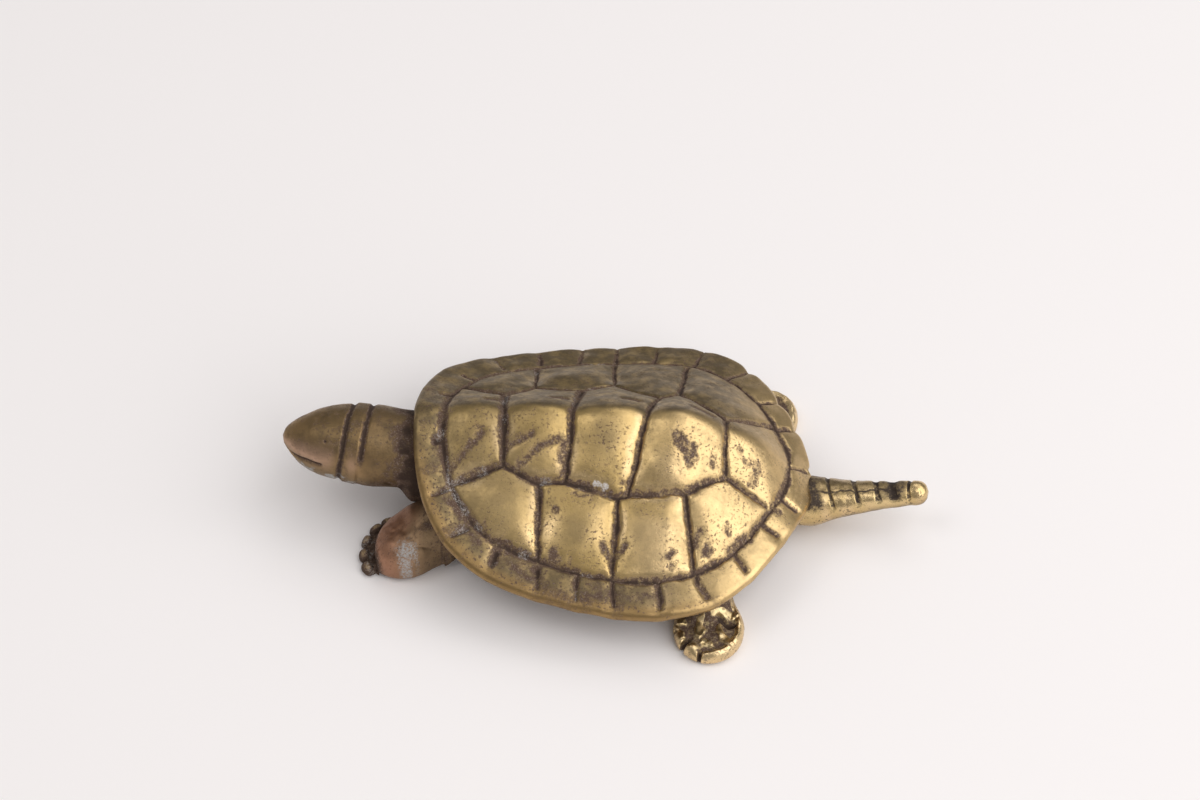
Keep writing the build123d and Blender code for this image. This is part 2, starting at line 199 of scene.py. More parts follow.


# aged cast brass: two metal tones drifting into each other, brown patina where the grime-and-shade layer is
# high (dirt in seams and stains, and painted shade under the shell and at the roots of the legs, neck and
# tail), dark pits in clusters and where "speckle" is high, tarnish where the tarnish-and-shade layer is high
# (real tarnish, and painted shade towards the shell's front, on its far flank, under the tail and at the
# front legs' roots), copper tone where the copper-and-highlight layer is high (copper on the front feet, a
# painted highlight on the cheek and a painted floor reflection by the shell's lip), pale deposit where "chip"
# is high, brighter and smoother metal where the polish-and-highlight layer is high (rubbed brass, and painted
# highlights on the shell, the tail and the hind feet)
def castBrass(name, look):
    finish = bpy.data.materials.new(name)
    finish.use_nodes = True
    nodes, links = finish.node_tree.nodes, finish.node_tree.links
    shader = nodes["Principled BSDF"]
    surface = brassSurface

    def put(socket, value):
        if hasattr(value, "links"):
            links.new(value, socket)
        elif isinstance(value, (tuple, list)):
            socket.default_value = (*value, 1)
        else:
            socket.default_value = value

    def make(kind, output, inputs, **settings):
        node = nodes.new("ShaderNode" + kind)
        for key, value in settings.items():
            setattr(node, key, value)
        for key, value in inputs.items():
            put(node.inputs[key], value)
        return node.outputs[output]

    place = make("TexCoord", "Object", {})

    def grain(size, detail, roughness):
        inputs = dict(Vector=place, Scale=1 / (size * mm), Detail=detail, Roughness=roughness)
        return make("TexNoise", "Fac", inputs)

    def spread(value, growth, start=0.0, end=1.0):
        limits = (value, *brassGrowth[growth], start, end)
        return make("MapRange", 0, dict(enumerate(limits)), interpolation_type="SMOOTHSTEP")

    def patches(kind, start=0.0, end=1.0):
        return spread(grain(*brassGrain[kind]), kind, start, end)

    def sums(kind, a, b):
        return make("Math", 0, {0: a, 1: b}, operation=kind, use_clamp=True)

    def times(a, b):
        return sums("MULTIPLY", a, b)

    def tint(share, a, b):
        return make("Mix", 2, {0: share, 6: a, 7: b}, data_type="RGBA")

    def marked(layer):
        return make("Attribute", "Fac", {}, attribute_name=layer)

    grimeAndShade, chip, polishAndHighlight = marked("grimeAndShade"), marked("chip"), marked("polishAndHighlight")
    warm, worn, speckle = marked("warm"), marked("worn"), marked("speckle")
    fine = grain(*brassGrain["fine"])
    drift = patches("drift")
    haze = sums("MAXIMUM", patches("haze", 0.0, look["haze"]), times(worn, patches("wear", 0.55, 1.0)))
    specks = spread(grain(look["pitSize"], *brassGrain["pit"]), "pit")
    pits = times(specks, sums("MAXIMUM", patches("cluster", 0.1, look["pits"]), speckle))
    dirtAndPaintedLight = sums("MAXIMUM", spread(times(grimeAndShade, patches("fray", 0.5, 1.6)), "dirtAndPaintedLight"), pits)
    metal = tint(drift, look["metal"], look["metalDeep"])
    metal = tint(times(polishAndHighlight, surface["rubbedAndHighlightShare"]), metal, look["rubbedAndHighlight"])
    metal = tint(haze, metal, look["tarnishAndShadeTone"])
    metal = tint(warm, metal, look["copperAndHighlightTint"])
    crustAndShade = tint(patches("dust"), look["patina"], look["patinaDust"])
    crustAndShade = tint(spread(grimeAndShade, "seamLine"), crustAndShade, look["seamLine"])
    chalk = spread(times(chip, patches("powder", 0.3, 1.9)), "chalk")
    put(shader.inputs["Base Color"], tint(chalk, tint(dirtAndPaintedLight, metal, crustAndShade), look["deposit"]))
    put(shader.inputs["Specular IOR Level"], surface["specular"])
    dull = sums("MAXIMUM", dirtAndPaintedLight, chalk)
    put(shader.inputs["Metallic"], spread(dull, "full", 1.0, surface["dirtMetallic"]))
    sheen = spread(fine, "sheen", look["gloss"] - surface["smoother"], look["gloss"] + surface["rougher"])
    sheen = sums("ADD", sheen, times(haze, surface["hazeRough"]))
    sheen = sums("SUBTRACT", sheen, times(polishAndHighlight, surface["polishRough"]))
    put(shader.inputs["Roughness"], sums("ADD", sheen, times(dull, surface["dirtRough"])))
    ground = sums("ADD", times(fine, surface["fineBump"]), surface["bumpLevel"])
    ground = sums("SUBTRACT", ground, times(dirtAndPaintedLight, surface["dirtBump"]))
    relief = dict(Strength=look["bump"], Distance=surface["bumpDepth"] * mm, Height=ground)
    put(shader.inputs["Normal"], make("Bump", "Normal", relief))
    return finish


brassLook = dict(metal=(0.64, 0.450, 0.198), metalDeep=(0.50, 0.348, 0.142), rubbedAndHighlight=(0.81, 0.590, 0.33),
                 tarnishAndShadeTone=(0.188, 0.140, 0.080), copperAndHighlightTint=(0.36, 0.225, 0.090), patina=(0.108, 0.066, 0.047),
                 patinaDust=(0.270, 0.200, 0.160), seamLine=(0.055, 0.034, 0.025), deposit=(0.62, 0.58, 0.55),
                 haze=0.40, pits=0.65, pitSize=0.34, gloss=0.36, bump=0.55)
shellFinish = castBrass("shellBrass", brassLook)
headFinish = castBrass("headBrass", brassLook | dict(
    metal=(0.370, 0.238, 0.112), metalDeep=(0.255, 0.170, 0.082), tarnishAndShadeTone=(0.135, 0.096, 0.056),
    copperAndHighlightTint=(0.50, 0.325, 0.230), deposit=(0.40, 0.385, 0.37), haze=0.75, pits=0.8, gloss=0.41, bump=0.8))
frontLegFinish = castBrass("frontLegBrass", brassLook | dict(
    metal=(0.370, 0.250, 0.140), metalDeep=(0.290, 0.195, 0.108), tarnishAndShadeTone=(0.200, 0.140, 0.085),
    copperAndHighlightTint=(0.39, 0.205, 0.130), deposit=(0.42, 0.40, 0.385), haze=0.6, gloss=0.45))
# a brighter copy of the brass for the hind legs: painted highlight
hindLegFinish = castBrass("hindLegBrass", brassLook | dict(
    metal=(0.78, 0.61, 0.34), metalDeep=(0.64, 0.48, 0.24), gloss=0.34))
# a brighter copy of the brass for the tail: painted highlight
tailFinish = castBrass("tailBrass", brassLook | dict(
    metal=(0.80, 0.600, 0.305), metalDeep=(0.66, 0.48, 0.225), tarnishAndShadeTone=(0.150, 0.104, 0.054),
    patina=(0.052, 0.036, 0.026), patinaDust=(0.13, 0.098, 0.075), seamLine=(0.030, 0.020, 0.015),
    haze=0.15, gloss=0.25))
# a darker copy of the brass for the belly: painted shade under the shell
bodyFinish = castBrass("bodyBrass", brassLook | dict(
    metal=(0.40, 0.29, 0.150), metalDeep=(0.28, 0.20, 0.105), haze=0.7, gloss=0.46))
print("finishes ready")

# the domed shell with its cut seams; its plan places are counted from the shell's middle
shell = dict(
    halfLength=23.8, halfWidth=21.3, middle=-3.1, rimHeight=7.2, longWave=0.08, wideWaves=(0.095, 0.054),
    backRise=11.3, frontEnd=1.08, rearEnd=0.92, crestAt=-0.2, frontDrop=1.7, frontPower=2.25, rearDrop=11.7,
    rearPower=1.85, frontFlat=(0.33, 4), rearFlat=(1.07, 3), flankDrop=20.9, flankReach=25.4, keelRound=1.5,
    keelLift=0.35, lipRadius=0.82, lipTurn=178, wall=2.0, hollowReach=3.0, slopeLimits=(0.05, 2), sink=0.76,
    rimLift=(0.25, 4), notch=0.35, notchWidth=0.04, fullCorners=((338, 0.85, 0.26), (242, 0.6, 0.22)),
    seamDepth=0.36, seamHalf=0.29, seamReach=2.3, swell=0.95, swellReach=4.4, marginSwell=0.2,
    marginReach=1.6, scratchDepth=0.22, scratchWidth=0.42, stainDepth=0.06, stainWidth=0.5, bedBroad=0.10,
    bedSmall=0.03, bedRough=(0.06, 0.10), columns=660, topRows=118, lipRows=11, underRows=15)
shellBumps = dict(far=dict(at=(7.2, -11.0714), stretch=(1, 1.4), rise=0.45, reach=3.2),
                  near=dict(at=(-4.5, 6.1), stretch=(0.8, 1.3), rise=0.30, reach=2.1))
shellWavers = dict(
    slowX=(2.4, 11), slowY=(2.4, 12), quickX=(0.8, 13), quickY=(0.8, 14), widthSlow=(2.2, 15),
    widthQuick=(0.7, 22), ragged=(0.5, 23), raggedFine=(0.25, 24), depth=(0.5, 16), stain=(0.6, 25),
    scratch=(0.5, 25), bedBroad=(5.0, 17), bedSmall=(1.7, 18), bedFar=(2.6, 26), blotch=(1.1, 19),
    line=(2.6, 27), speckSeam=(1.8, 29), speckRing=(2.6, 21), chip=(0.4, 37), dust=(1.5, 39),
    polishAndHighlight=(3.0, 20), beyond=(1.2, 28), worn=(2.5, 30), dull=(1.4, 38), pale=(1.2, 40), margin=(1.5, 45))
# strengths of the shell's dirt and painted light: a highlight towards the rear, shade as tarnish towards the
# front and on the far flank, and a floor reflection by the lip
shellDirtAndLight = dict(
    bank=0.66, blotch=0.1, line=0.30, lineShift=(0.11, -0.09), scratch=0.70, scratchWidth=0.64, stain=0.52,
    stainBlotch=0.26, stainWidth=0.62, strong=0.72, strongWidth=0.72, halo=0.5, margin=0.46, marginSpeck=0.9,
    stainSpeck=1.3, scratchSpeck=(0.9, 1.2), seamSpeck=0.7, ringSpeck=0.8, dust=0.38, rearHighlight=0.65,
    beyond=0.97, marginWorn=0.95, rearUnshaded=0.7, frontShade=0.6, warm=0.7)
ringScale = np.array([0.865, 0.80])
rowLeft = [
    (20.9, 7.9), (14.6, 5.6), (10.2, 7.3), (7.3, 7.0), (1.0, 8.5), (-0.2, 8.1), (-6.9, 7.6), (-11.4, 5.0),
    (-16.3, 6.3)]
rowRight = [
    (21.3, -7.3), (15.4, -4.8), (12.2, -7.9), (6.5, -7.2), (2.7, -9.6), (-3.0, -5.6), (-5.3, -7.6),
    (-11.0, -2.2), (-16.9, -6.2)]
crossSeams = [(*rowLeft[k], *rowRight[k]) for k in (1, 3, 5, 7)]
flankSeams = [
    (10.2, 7.3, 9.8, 16.2), (1.0, 8.5, 1.05, 16.7), (-6.9, 7.6, -8.3, 15.5), (12.2, -7.9, 12.8, -16.1),
    (2.7, -9.6, 3.2, -17.5), (-5.3, -7.6, -5.9, -15.9)]
rimSeams = [
    (-17.8, 4.4, -20.6, 5.4), (-15.6, 8.4, -18.6, 9.7), (-12.8, 12.7, -15.4, 15.4),
    (-8.5, 15.7, -10.5, 18.9), (-4.3, 16.9, -4.7, 20.2), (1.0, 16.8, 0.6, 20.1), (5.1, 16.5, 5.0, 20.0),
    (9.8, 16.3, 9.6, 18.4), (14.7, 14.7, 15.2, 16.1), (18.3, 12.3, 20.4, 13.5), (20.7, 8.2, 23.4, 9.5),
    (22.3, 3.2, 22.9, 3.3), (-18.7, 0.0, -21.9, -2.5), (-17.1, -5.8, -20.6, -8.2),
    (-14.6, -10.3, -18.0, -12.0), (-10.7, -14.3, -13.6, -17.5), (-6.6, -16.5, -7.6, -20.2),
    (-1.6, -16.9, -1.9, -20.6), (3.1, -16.8, 3.0, -20.6), (7.6, -16.5, 7.4, -20.0),
    (12.3, -15.6, 12.8, -18.0), (16.6, -13.6, 18.0, -15.4), (20.0, -9.8, 21.4, -10.7),
    (22.2, -4.4, 23.0, -4.5)]
# spots of the finish: place, radius and strength; the dull spots paint shade and the bright spots paint
# highlight
shadeSpots = [(5.5, 12.3, 2.3, 0.6), (-2.0, 12.6, 2.0, 0.5), (2.7, 3.0, 1.9, 0.6), (11.5, 3.8, 2.6, 0.35)]
highlightSpots = [(-5.0, 6.0, 2.8, 1.0), (-1.5, 6.4, 1.6, 0.7), (-8.6, 12.0, 2.0, 0.7)]
paleSpots = [(14.9, 13.4, 1.2, 0.8), (11.1, 13.0, 1.1, 0.8), (8.8, 12.0, 1.2, 0.9), (3.1, 12.0, 1.3, 0.45)]
grainySpots = [
    (18.6, 3.6, 2.0, 1.0), (15.8, 12.4, 2.2, 0.9), (11.2, 13.4, 1.7, 0.9), (8.8, 12.4, 1.7, 0.9),
    (3.4, 13.0, 1.8, 0.9), (-6.6, 3.5, 2.4, 1.0), (-14.2, 3.0, 2.2, 1.0), (-8.6, 12.2, 1.4, 0.9),
    (7.6, 5.0, 1.6, 1.0), (2.7, 3.0, 2.0, 1.0)]
# marks of the finish, each a straight piece that wanders
scratches = [
    (17.3, 2.8, 20.7, 6.3), (13.8, 3.7, 11.5, 2.7), (12.6, 5.6, 10.3, 4.0), (10.3, 4.0, 8.1, 3.0),
    (17.5, -2.4, 15.2, -2.7), (9.6, -3.1, 8.0, -3.4), (1.2, -3.6, -0.8, -3.1), (-9.5, -1.6, -7.2, -2.6)]
stains = [
    (-5.4, 2.2, -7.1, 5.0), (-9.9, 3.2, -9.7, 4.4), (-13.9, 3.2, -15.3, 2.9), (-14.9, 3.6, -14.6, 4.9),
    (-12.9, 1.9, -13.0, 1.9), (16.3, 11.5, 16.0, 12.2), (14.3, 13.6, 13.7, 14.4), (7.7, 14.2, 7.4, 15.6),
    (6.0, 15.2, 5.9, 16.2), (8.3, 10.4, 8.0, 10.5), (2.2, 13.6, 1.3, 15.2), (-0.2, 13.4, 0.8, 15.0),
    (-5.6, 14.2, -5.4, 14.6), (-5.9, 15.4, -5.8, 15.7), (-8.6, 11.8, -8.5, 13.0), (-9.9, 12.9, -9.7, 13.9),
    (-12.2, 10.6, -12.1, 10.9), (8.4, 18.4, 9.6, 18.0), (6.6, 19.2, 3.4, 19.5), (4.4, 18.7, 1.4, 19.4),
    (-1.2, 19.2, -4.0, 19.0), (12.6, 16.6, 10.6, 17.6), (17.6, 13.0, 16.4, 14.2), (20.3, 9.8, 19.3, 11.2),
    (17.9, 2.2, 17.4, 3.0), (0.5, 7.0, -0.6, 6.9), (5.8, 8.6, 4.2, 8.7), (-17.6, 6.6, -18.3, 6.4)]
strongStains = [
    (-5.3, 2.3, -7.0, 4.9), (-7.9, 3.1, -7.1, 5.0), (-5.6, 2.5, -7.8, 3.1), (-9.9, 13.1, -9.7, 13.7),
    (2.2, 13.8, 1.3, 15.2), (8.2, 14.6, 7.4, 15.8), (7.9, 3.4, 7.4, 6.3), (-5.6, 14.2, -5.4, 14.5),
    (17.6, 13.0, 16.6, 14.0), (20.3, 9.8, 19.4, 11.0), (-12.3, 12.8, -14.5, 10.6)]
paleChip = [(3.75, 7.3, 2.35, 7.55)]


# rim outline: an ellipse with a second harmonic along the body and second and fourth harmonics across it
def rimOutline(angle):
    second, fourth = shell["wideWaves"]
    x = shell["halfLength"] * (np.cos(angle) + shell["longWave"] * np.cos(2 * angle))
    y = shell["halfWidth"] * (np.sin(angle) + second * np.sin(2 * angle) + fourth * np.sin(4 * angle))
    return np.stack([x, y], -1)


# back height: a keel that falls by a power law ahead of and behind its crest, less a flank drop that
# grows towards its limit with distance from the keel
def backHeight(u, y):
    front, rear, crest = (shell[end] * shell["halfLength"] for end in ("frontEnd", "rearEnd", "crestAt"))
    run = u - crest
    keel = shell["backRise"] - np.where(
        run > 0, shell["frontDrop"] * (np.abs(run) / (front - crest)) ** shell["frontPower"],
        shell["rearDrop"] * (np.abs(run) / (rear + crest)) ** shell["rearPower"])
    (frontLoss, frontPower), (rearLoss, rearPower) = shell["frontFlat"], shell["rearFlat"]
    share = np.where(u > 0, 1 - frontLoss * (np.abs(u) / front) ** frontPower,
                     1 - rearLoss * (np.abs(u) / rear) ** rearPower)
    side = np.sqrt(y * y + shell["keelRound"] ** 2) - shell["keelRound"] - shell["keelLift"]
    return shell["rimHeight"] + keel - share * shell["flankDrop"] * (1 - np.exp(-side / shell["flankReach"]))


ringLine = chain(rimOutline(np.linspace(0, circle, 97)) * ringScale)
mainSeams = chain(rowLeft) + chain(rowRight) + flankSeams + crossSeams


# shell plan: a polar grid from the middle to the rim, with u along the body and y across it; the rim is
# notched at its rear seams on the far side, and fuller at two corners beyond the keel
def shellPlan():
    angle = np.linspace(0, circle, shell["columns"], endpoint=False)
    rim = rimOutline(angle)
    along = np.roll(rim, -1, 0) - np.roll(rim, 1, 0)
    outward = np.stack([along[:, 1], -along[:, 0]], -1) / np.linalg.norm(along, axis=1)[:, None]
    table = np.linspace(-np.pi, np.pi, 4001)
    tableRim = rimOutline(table)
    bearing = np.unwrap(np.arctan2(tableRim[:, 1], tableRim[:, 0]))
    ends = np.array(rimSeams)[:, 2:]
    endAngle = np.interp(np.arctan2(ends[:, 1], ends[:, 0]), bearing, table)
    farRear = (ends[:, 0] < -10) & (ends[:, 1] < 0)
    gap = fold(angle[:, None] - endAngle)
    notch = (bell(gap, shell["notchWidth"]) * np.where(farRear, shell["notch"], 0)).sum(1)
    corner = sum(full * bell(angle - np.radians(at), width) for at, full, width in shell["fullCorners"])
    rim = rim + outward * (corner - notch)[:, None]
    slope = backHeight(*(rim - outward).T) - backHeight(*rim.T)
    tilt = np.arctan(np.clip(slope, *shell["slopeLimits"]))
    inner = rim - outward * (shell["lipRadius"] * (1 - np.sin(tilt)))[:, None]
    flat = np.linspace(0.012, 1, shell["topRows"])[:, None, None] * inner[None]
    spot = raised(flat, np.zeros(flat.shape[:-1]))
    fromRim = np.linalg.norm(inner[None] - flat, axis=-1)
    ringReach = np.linalg.norm(rimOutline(angle) * ringScale, axis=-1)
    outer = np.linalg.norm(flat, axis=-1) > ringReach[None]
    return SimpleNamespace(angle=angle, outward=outward, tilt=tilt, inner=inner, flat=flat, spot=spot,
                           u=flat[..., 0], y=flat[..., 1], fromRim=fromRim, outer=outer,
                           noise=waverReader(spot, shellWavers))


# shell cuts: a groove along each seam that wanders by hand, widens and narrows, and stops short of the near
# lip, then the dents of scratches and stains
def shellCuts(plan):
    noise, u, y, outer = plan.noise, plan.u, plan.y, plan.outer
    hand = np.stack([noise("slowX"), noise("slowY")], -1) * 0.16
    hand += np.stack([noise("quickX"), noise("quickY")], -1) * 0.06
    cut = plan.flat + hand
    wander = plan.flat + 2.4 * hand
    toRing, toRim = lineDistance(cut, ringLine), lineDistance(cut, rimSeams)
    toSeam = np.minimum(toRing, np.where(outer, toRim, lineDistance(cut, mainSeams)))
    onRim = outer & (toRim < toRing)
    finer = 1 - 0.3 * within(-11, -5, y)  # seams are finer on the far flank
    half = shell["seamHalf"] * (1 + 0.5 * noise("widthSlow") + 0.2 * noise("widthQuick")) * finer
    narrow = 0.45 * ease(-12, -6, u) * within(0.2, 2.2, plan.fromRim)  # seams ahead thin out towards the rim
    half = half * (1 - np.where(onRim, narrow, 0))
    kept = np.where(onRim, np.maximum(ease(0.05, 0.6, plan.fromRim), 0.8 * within(-12, -4, y)), 1)
    depth = shell["seamDepth"] * (1 + 0.25 * noise("depth")) * finer
    dent = lineDistance(cut, scratches)
    stray = 0.25 * noise("stain")
    toStain, toStrong = lineDistance(wander, stains) + stray, lineDistance(wander, strongStains) + stray
    groove = within(0, shell["seamReach"] * half, toSeam) * depth * kept
    groove += shell["scratchDepth"] * bell(dent, shell["scratchWidth"])
    groove += shell["stainDepth"] * bell(toStain, shell["stainWidth"])
    return SimpleNamespace(cut=cut, toRing=toRing, toSeam=toSeam, half=half, kept=kept, dent=dent,
                           toStain=toStain, toStrong=toStrong, groove=groove)


# oval bump: a bell of the distance from its middle, measured in two stretched directions
def ovalBump(plan, bump):
    (u, y), (along, across) = bump["at"], bump["stretch"]
    return bump["rise"] * bell(np.hypot(along * (plan.u - u), across * (plan.y - y)), bump["reach"])


# shell height: the back plus a swelling in each scute that follows a quarter sine of the distance from the
# seams, less the grooves, plus an uneven bed that is rougher beyond the keel
def shellHeight(plan, cuts):
    lines = [ringLine, chain(rowLeft), chain(rowRight)] + [[seam] for seam in flankSeams + crossSeams]
    rise = np.sin(np.minimum(crowdDistance(plan.flat, lines) / shell["swellReach"], 1) * np.pi / 2)
    margin = ease(0, shell["marginReach"], crowdDistance(plan.flat, [ringLine, rimSeams]))
    swell = np.where(plan.outer, shell["marginSwell"] * margin, shell["swell"] * rise)
    beyond = within(-3.5, -0.5, plan.y)
    roughSmall, roughFar = shell["bedRough"]
    bed = plan.noise("bedBroad") * shell["bedBroad"]
    bed += plan.noise("bedSmall") * (shell["bedSmall"] + roughSmall * beyond)
    farBed = waver(plan.spot * (1, 2, 1), *shellWavers["bedFar"])
    bed += beyond * (roughFar * farBed + ovalBump(plan, shellBumps["far"]))
    bed += ovalBump(plan, shellBumps["near"])
    lift, liftReach = shell["rimLift"]
    height = backHeight(plan.u, plan.y) - shell["sink"] + swell - cuts.groove + bed
    return height + lift * within(0, liftReach, plan.fromRim)


# dirt of the shell: brown banks and a darker line in the seams, stains, and specks about them
def shellGrime(plan, cuts, frontNear):
    dirtAndPaintedLight, noise, half, toSeam, outer = shellDirtAndLight, plan.noise, cuts.half, cuts.toSeam, plan.outer
    blotch = ease(-0.2, 0.7, noise("blotch"))
    fray = 0.10 * noise("ragged") + 0.05 * noise("raggedFine")
    wide = half * (1 + 0.45 * ease(0, 14, plan.u))  # dirt lies wider in the front seams
    bank = within(0.9 * wide, 2.1 * wide, toSeam + fray)
    shifted = cuts.cut + np.array(dirtAndPaintedLight["lineShift"])  # the dark line lies to one side of each seam
    crossing = np.where(outer, lineDistance(shifted, rimSeams), lineDistance(shifted, mainSeams))
    toLine = np.minimum(lineDistance(shifted, ringLine), crossing) + fray
    line = within(0.15 * half, 0.95 * wide, toLine) * ease(-0.95, -0.15, noise("line"))
    margin = np.where(outer, 1.0, 0.0) * frontNear
    grimeAndShade = highest(
        (bank * (dirtAndPaintedLight["bank"] + dirtAndPaintedLight["blotch"] * blotch) + dirtAndPaintedLight["line"] * line) * cuts.kept,
        dirtAndPaintedLight["scratch"] * bell(cuts.dent + 0.15 * noise("scratch"), dirtAndPaintedLight["scratchWidth"]),
        (dirtAndPaintedLight["stain"] + dirtAndPaintedLight["stainBlotch"] * blotch) * bell(cuts.toStain, dirtAndPaintedLight["stainWidth"]),
        dirtAndPaintedLight["strong"] * bell(cuts.toStrong, dirtAndPaintedLight["strongWidth"]),
        dirtAndPaintedLight["halo"] * within(0.6 * half, 5.0 * half, toSeam) * blotch,
        dirtAndPaintedLight["margin"] * margin * ease(-0.1, 0.5, noise("margin")))
    scratchShare, scratchWidth = dirtAndPaintedLight["scratchSpeck"]
    speckle = highest(
        bell(cuts.toStain, dirtAndPaintedLight["stainSpeck"]), scratchShare * bell(cuts.dent, scratchWidth),
        dirtAndPaintedLight["seamSpeck"] * within(half, 6.0 * half, toSeam) * ease(-0.4, 0.6, noise("speckSeam")),
        dirtAndPaintedLight["ringSpeck"] * within(0.5, 2.4, cuts.toRing) * ease(-0.1, 0.7, noise("speckRing")))
    chip = within(0.08, 0.36, lineDistance(cuts.cut, paleChip) + 0.13 * noise("chip"))
    dust = dirtAndPaintedLight["dust"] * bank * ease(-4, 6, plan.u) * ease(-0.1, 0.6, noise("dust"))
    return grimeAndShade, speckle, np.maximum(chip, dust), dirtAndPaintedLight["marginSpeck"] * margin


# finish of the shell: polish and wear, with a painted highlight towards the rear, beside the seams and low on
# the near side, painted shade as tarnish towards the front and on the far flank, and a painted floor
# reflection by the lip;
# then the spots that dull (painted shade), brighten (painted highlight), pale or roughen it
def shellLayers(plan, cuts):
    dirtAndPaintedLight, noise, u, y = shellDirtAndLight, plan.noise, plan.u, plan.y
    sweep = np.broadcast_to((np.degrees(plan.angle) + 40) % 360 - 40, u.shape)
    frontNear = window(-32, -8, 85, 125, sweep)
    grimeAndShade, speckle, chip, marginSpeck = shellGrime(plan, cuts, frontNear)
    # rubbed polish with painted highlight: bands beside the seams, the rear, and a patch low on the near side
    polishAndHighlight = highest(bell(cuts.toSeam - 2.6 * cuts.half, 0.4) * ease(-0.3, 0.6, noise("polishAndHighlight")),
                     dirtAndPaintedLight["rearHighlight"] * within(-10, 2, u), ease(9, 12, y) * bell(u + 4.5, 3.4))
    # tarnish on the near front margin; tarnish with painted shade on the far flank; painted shade towards the
    # front, kept off the rear
    beyond = within(-0.9, 0.5, y + 0.3 * noise("beyond"))
    worn = np.where(plan.outer, dirtAndPaintedLight["marginWorn"], 0) * frontNear
    worn = np.maximum(worn, dirtAndPaintedLight["beyond"] * beyond)
    worn = worn * (1 - dirtAndPaintedLight["rearUnshaded"] * within(-18, -9, u))
    worn = np.maximum(worn, dirtAndPaintedLight["frontShade"] * ease(5, 16, u + 1.5 * noise("worn")))

    def nearSpot(spot, across=1.0, stray=0.0):
        atU, atY, size, share = spot
        return share * bell(np.hypot(u - atU, across * (y - atY)) + stray, size)

    stray = 0.7 * noise("dull")
    # darker spots: painted shade
    worn = highest(worn, *(nearSpot(spot, 1.0, stray) for spot in shadeSpots))
    # brighter spots: painted highlight
    for near in map(nearSpot, highlightSpots):
        polishAndHighlight, speckle, worn = np.maximum(polishAndHighlight, near), speckle * (1 - 0.85 * near), worn * (1 - near)
    stray = 0.5 * noise("pale")
    for near in (nearSpot(spot, 0.7, stray) for spot in paleSpots):
        polishAndHighlight, worn = np.maximum(polishAndHighlight, near), worn * (1 - near)
    speckle = highest(speckle, marginSpeck, *map(nearSpot, grainySpots))
    # copper tint by the near-side rim and lip: a painted reflection of the floor
    warm = within(0.0, 1.3, plan.fromRim) * window(0, 20, 95, 130, sweep) * dirtAndPaintedLight["warm"]
    return dict(grimeAndShade=grimeAndShade, chip=chip, polishAndHighlight=polishAndHighlight, speckle=speckle, worn=worn, warm=warm)


# shell skin: the cut back, then a lip rolled through half a circle round the rim and a plain hollow below
def buildShell():
    plan = shellPlan()
    cuts = shellCuts(plan)
    height = shellHeight(plan, cuts)
    lip, tilt = shell["lipRadius"], plan.tilt[None]
    turn = np.linspace(0, 1, shell["lipRows"] + 1)[1:, None] * (np.radians(shell["lipTurn"]) - tilt) + tilt
    reach = lip * (np.sin(turn) - np.sin(tilt))
    drop = lip * (np.cos(turn) - np.cos(tilt))
    edge = raised(plan.inner[None] + plan.outward[None] * reach[..., None], height[-1][None] + drop)
    last, lastHeight = edge[-1, :, :2][None], edge[-1, :, 2][None]
    under = np.linspace(1, 0.02, shell["underRows"] + 1)[1:, None, None] * last
    inside = ease(0, shell["hollowReach"], np.linalg.norm(last - under, axis=-1))
    hollow = lastHeight + (backHeight(under[..., 0], under[..., 1]) - shell["wall"] - lastHeight) * inside
    rings = np.concatenate([raised(plan.flat, height), edge, raised(under, hollow)])
    rings[..., 0] += shell["middle"]
    piece = makeObject("shellBack", *skinArrays(rings))
    layers = shellLayers(plan, cuts)
    # the lip takes the rim's layers, with a painted floor reflection; the underside is darkened as painted
    # shade
    lipShare = dict(grimeAndShade=0.8, chip=0, polishAndHighlight=0.8, speckle=0, worn=1, warm=1)
    underside = dict(grimeAndShade=0.9, chip=0, polishAndHighlight=0, speckle=0, worn=1, warm=0)
    for name, values in layers.items():
        lipPart = np.repeat(values[-1][None] * lipShare[name], shell["lipRows"], 0)
        underPart = np.full((shell["underRows"], shell["columns"]), underside[name])
        mark(piece, name, np.concatenate([values, lipPart, underPart]), [0, underside[name]])
    return piece


dress(buildShell(), "carapace", shellFinish)


# smooth curve through a few given values: straight runs between them, then blurred by a sliding window
def gentle(at, known, values, blurLength):
    dense = np.linspace(known[0], known[-1], 4001)
    line = np.interp(dense, known, values)
    count = int(blurLength / (dense[1] - dense[0])) | 1
    blur = np.hanning(count + 2)[1:-1]
    padded = np.pad(line, count // 2, mode="reflect", reflect_type="odd")
    return np.interp(at, dense, np.convolve(padded, blur / blur.sum(), "valid"))


# ring stations and radii of a taper: stations s, counted from the tip, crowd towards it, and the radius
# closes there as a square root
def taper(form):
    length = np.linalg.norm(np.subtract(form["tip"], form["root"]))
    s = length * np.linspace(0.0006, 1, form["rows"]) ** form["crowding"]
    turn = np.linspace(0, circle, form["columns"], endpoint=False)
    radius = gentle(s ** 0.5, np.sqrt(form["reach"]), form["width"], form["blur"])
    return s, turn, np.maximum(radius, 0.02) * np.sqrt(np.clip(s / form["tipRound"], 0, 1))


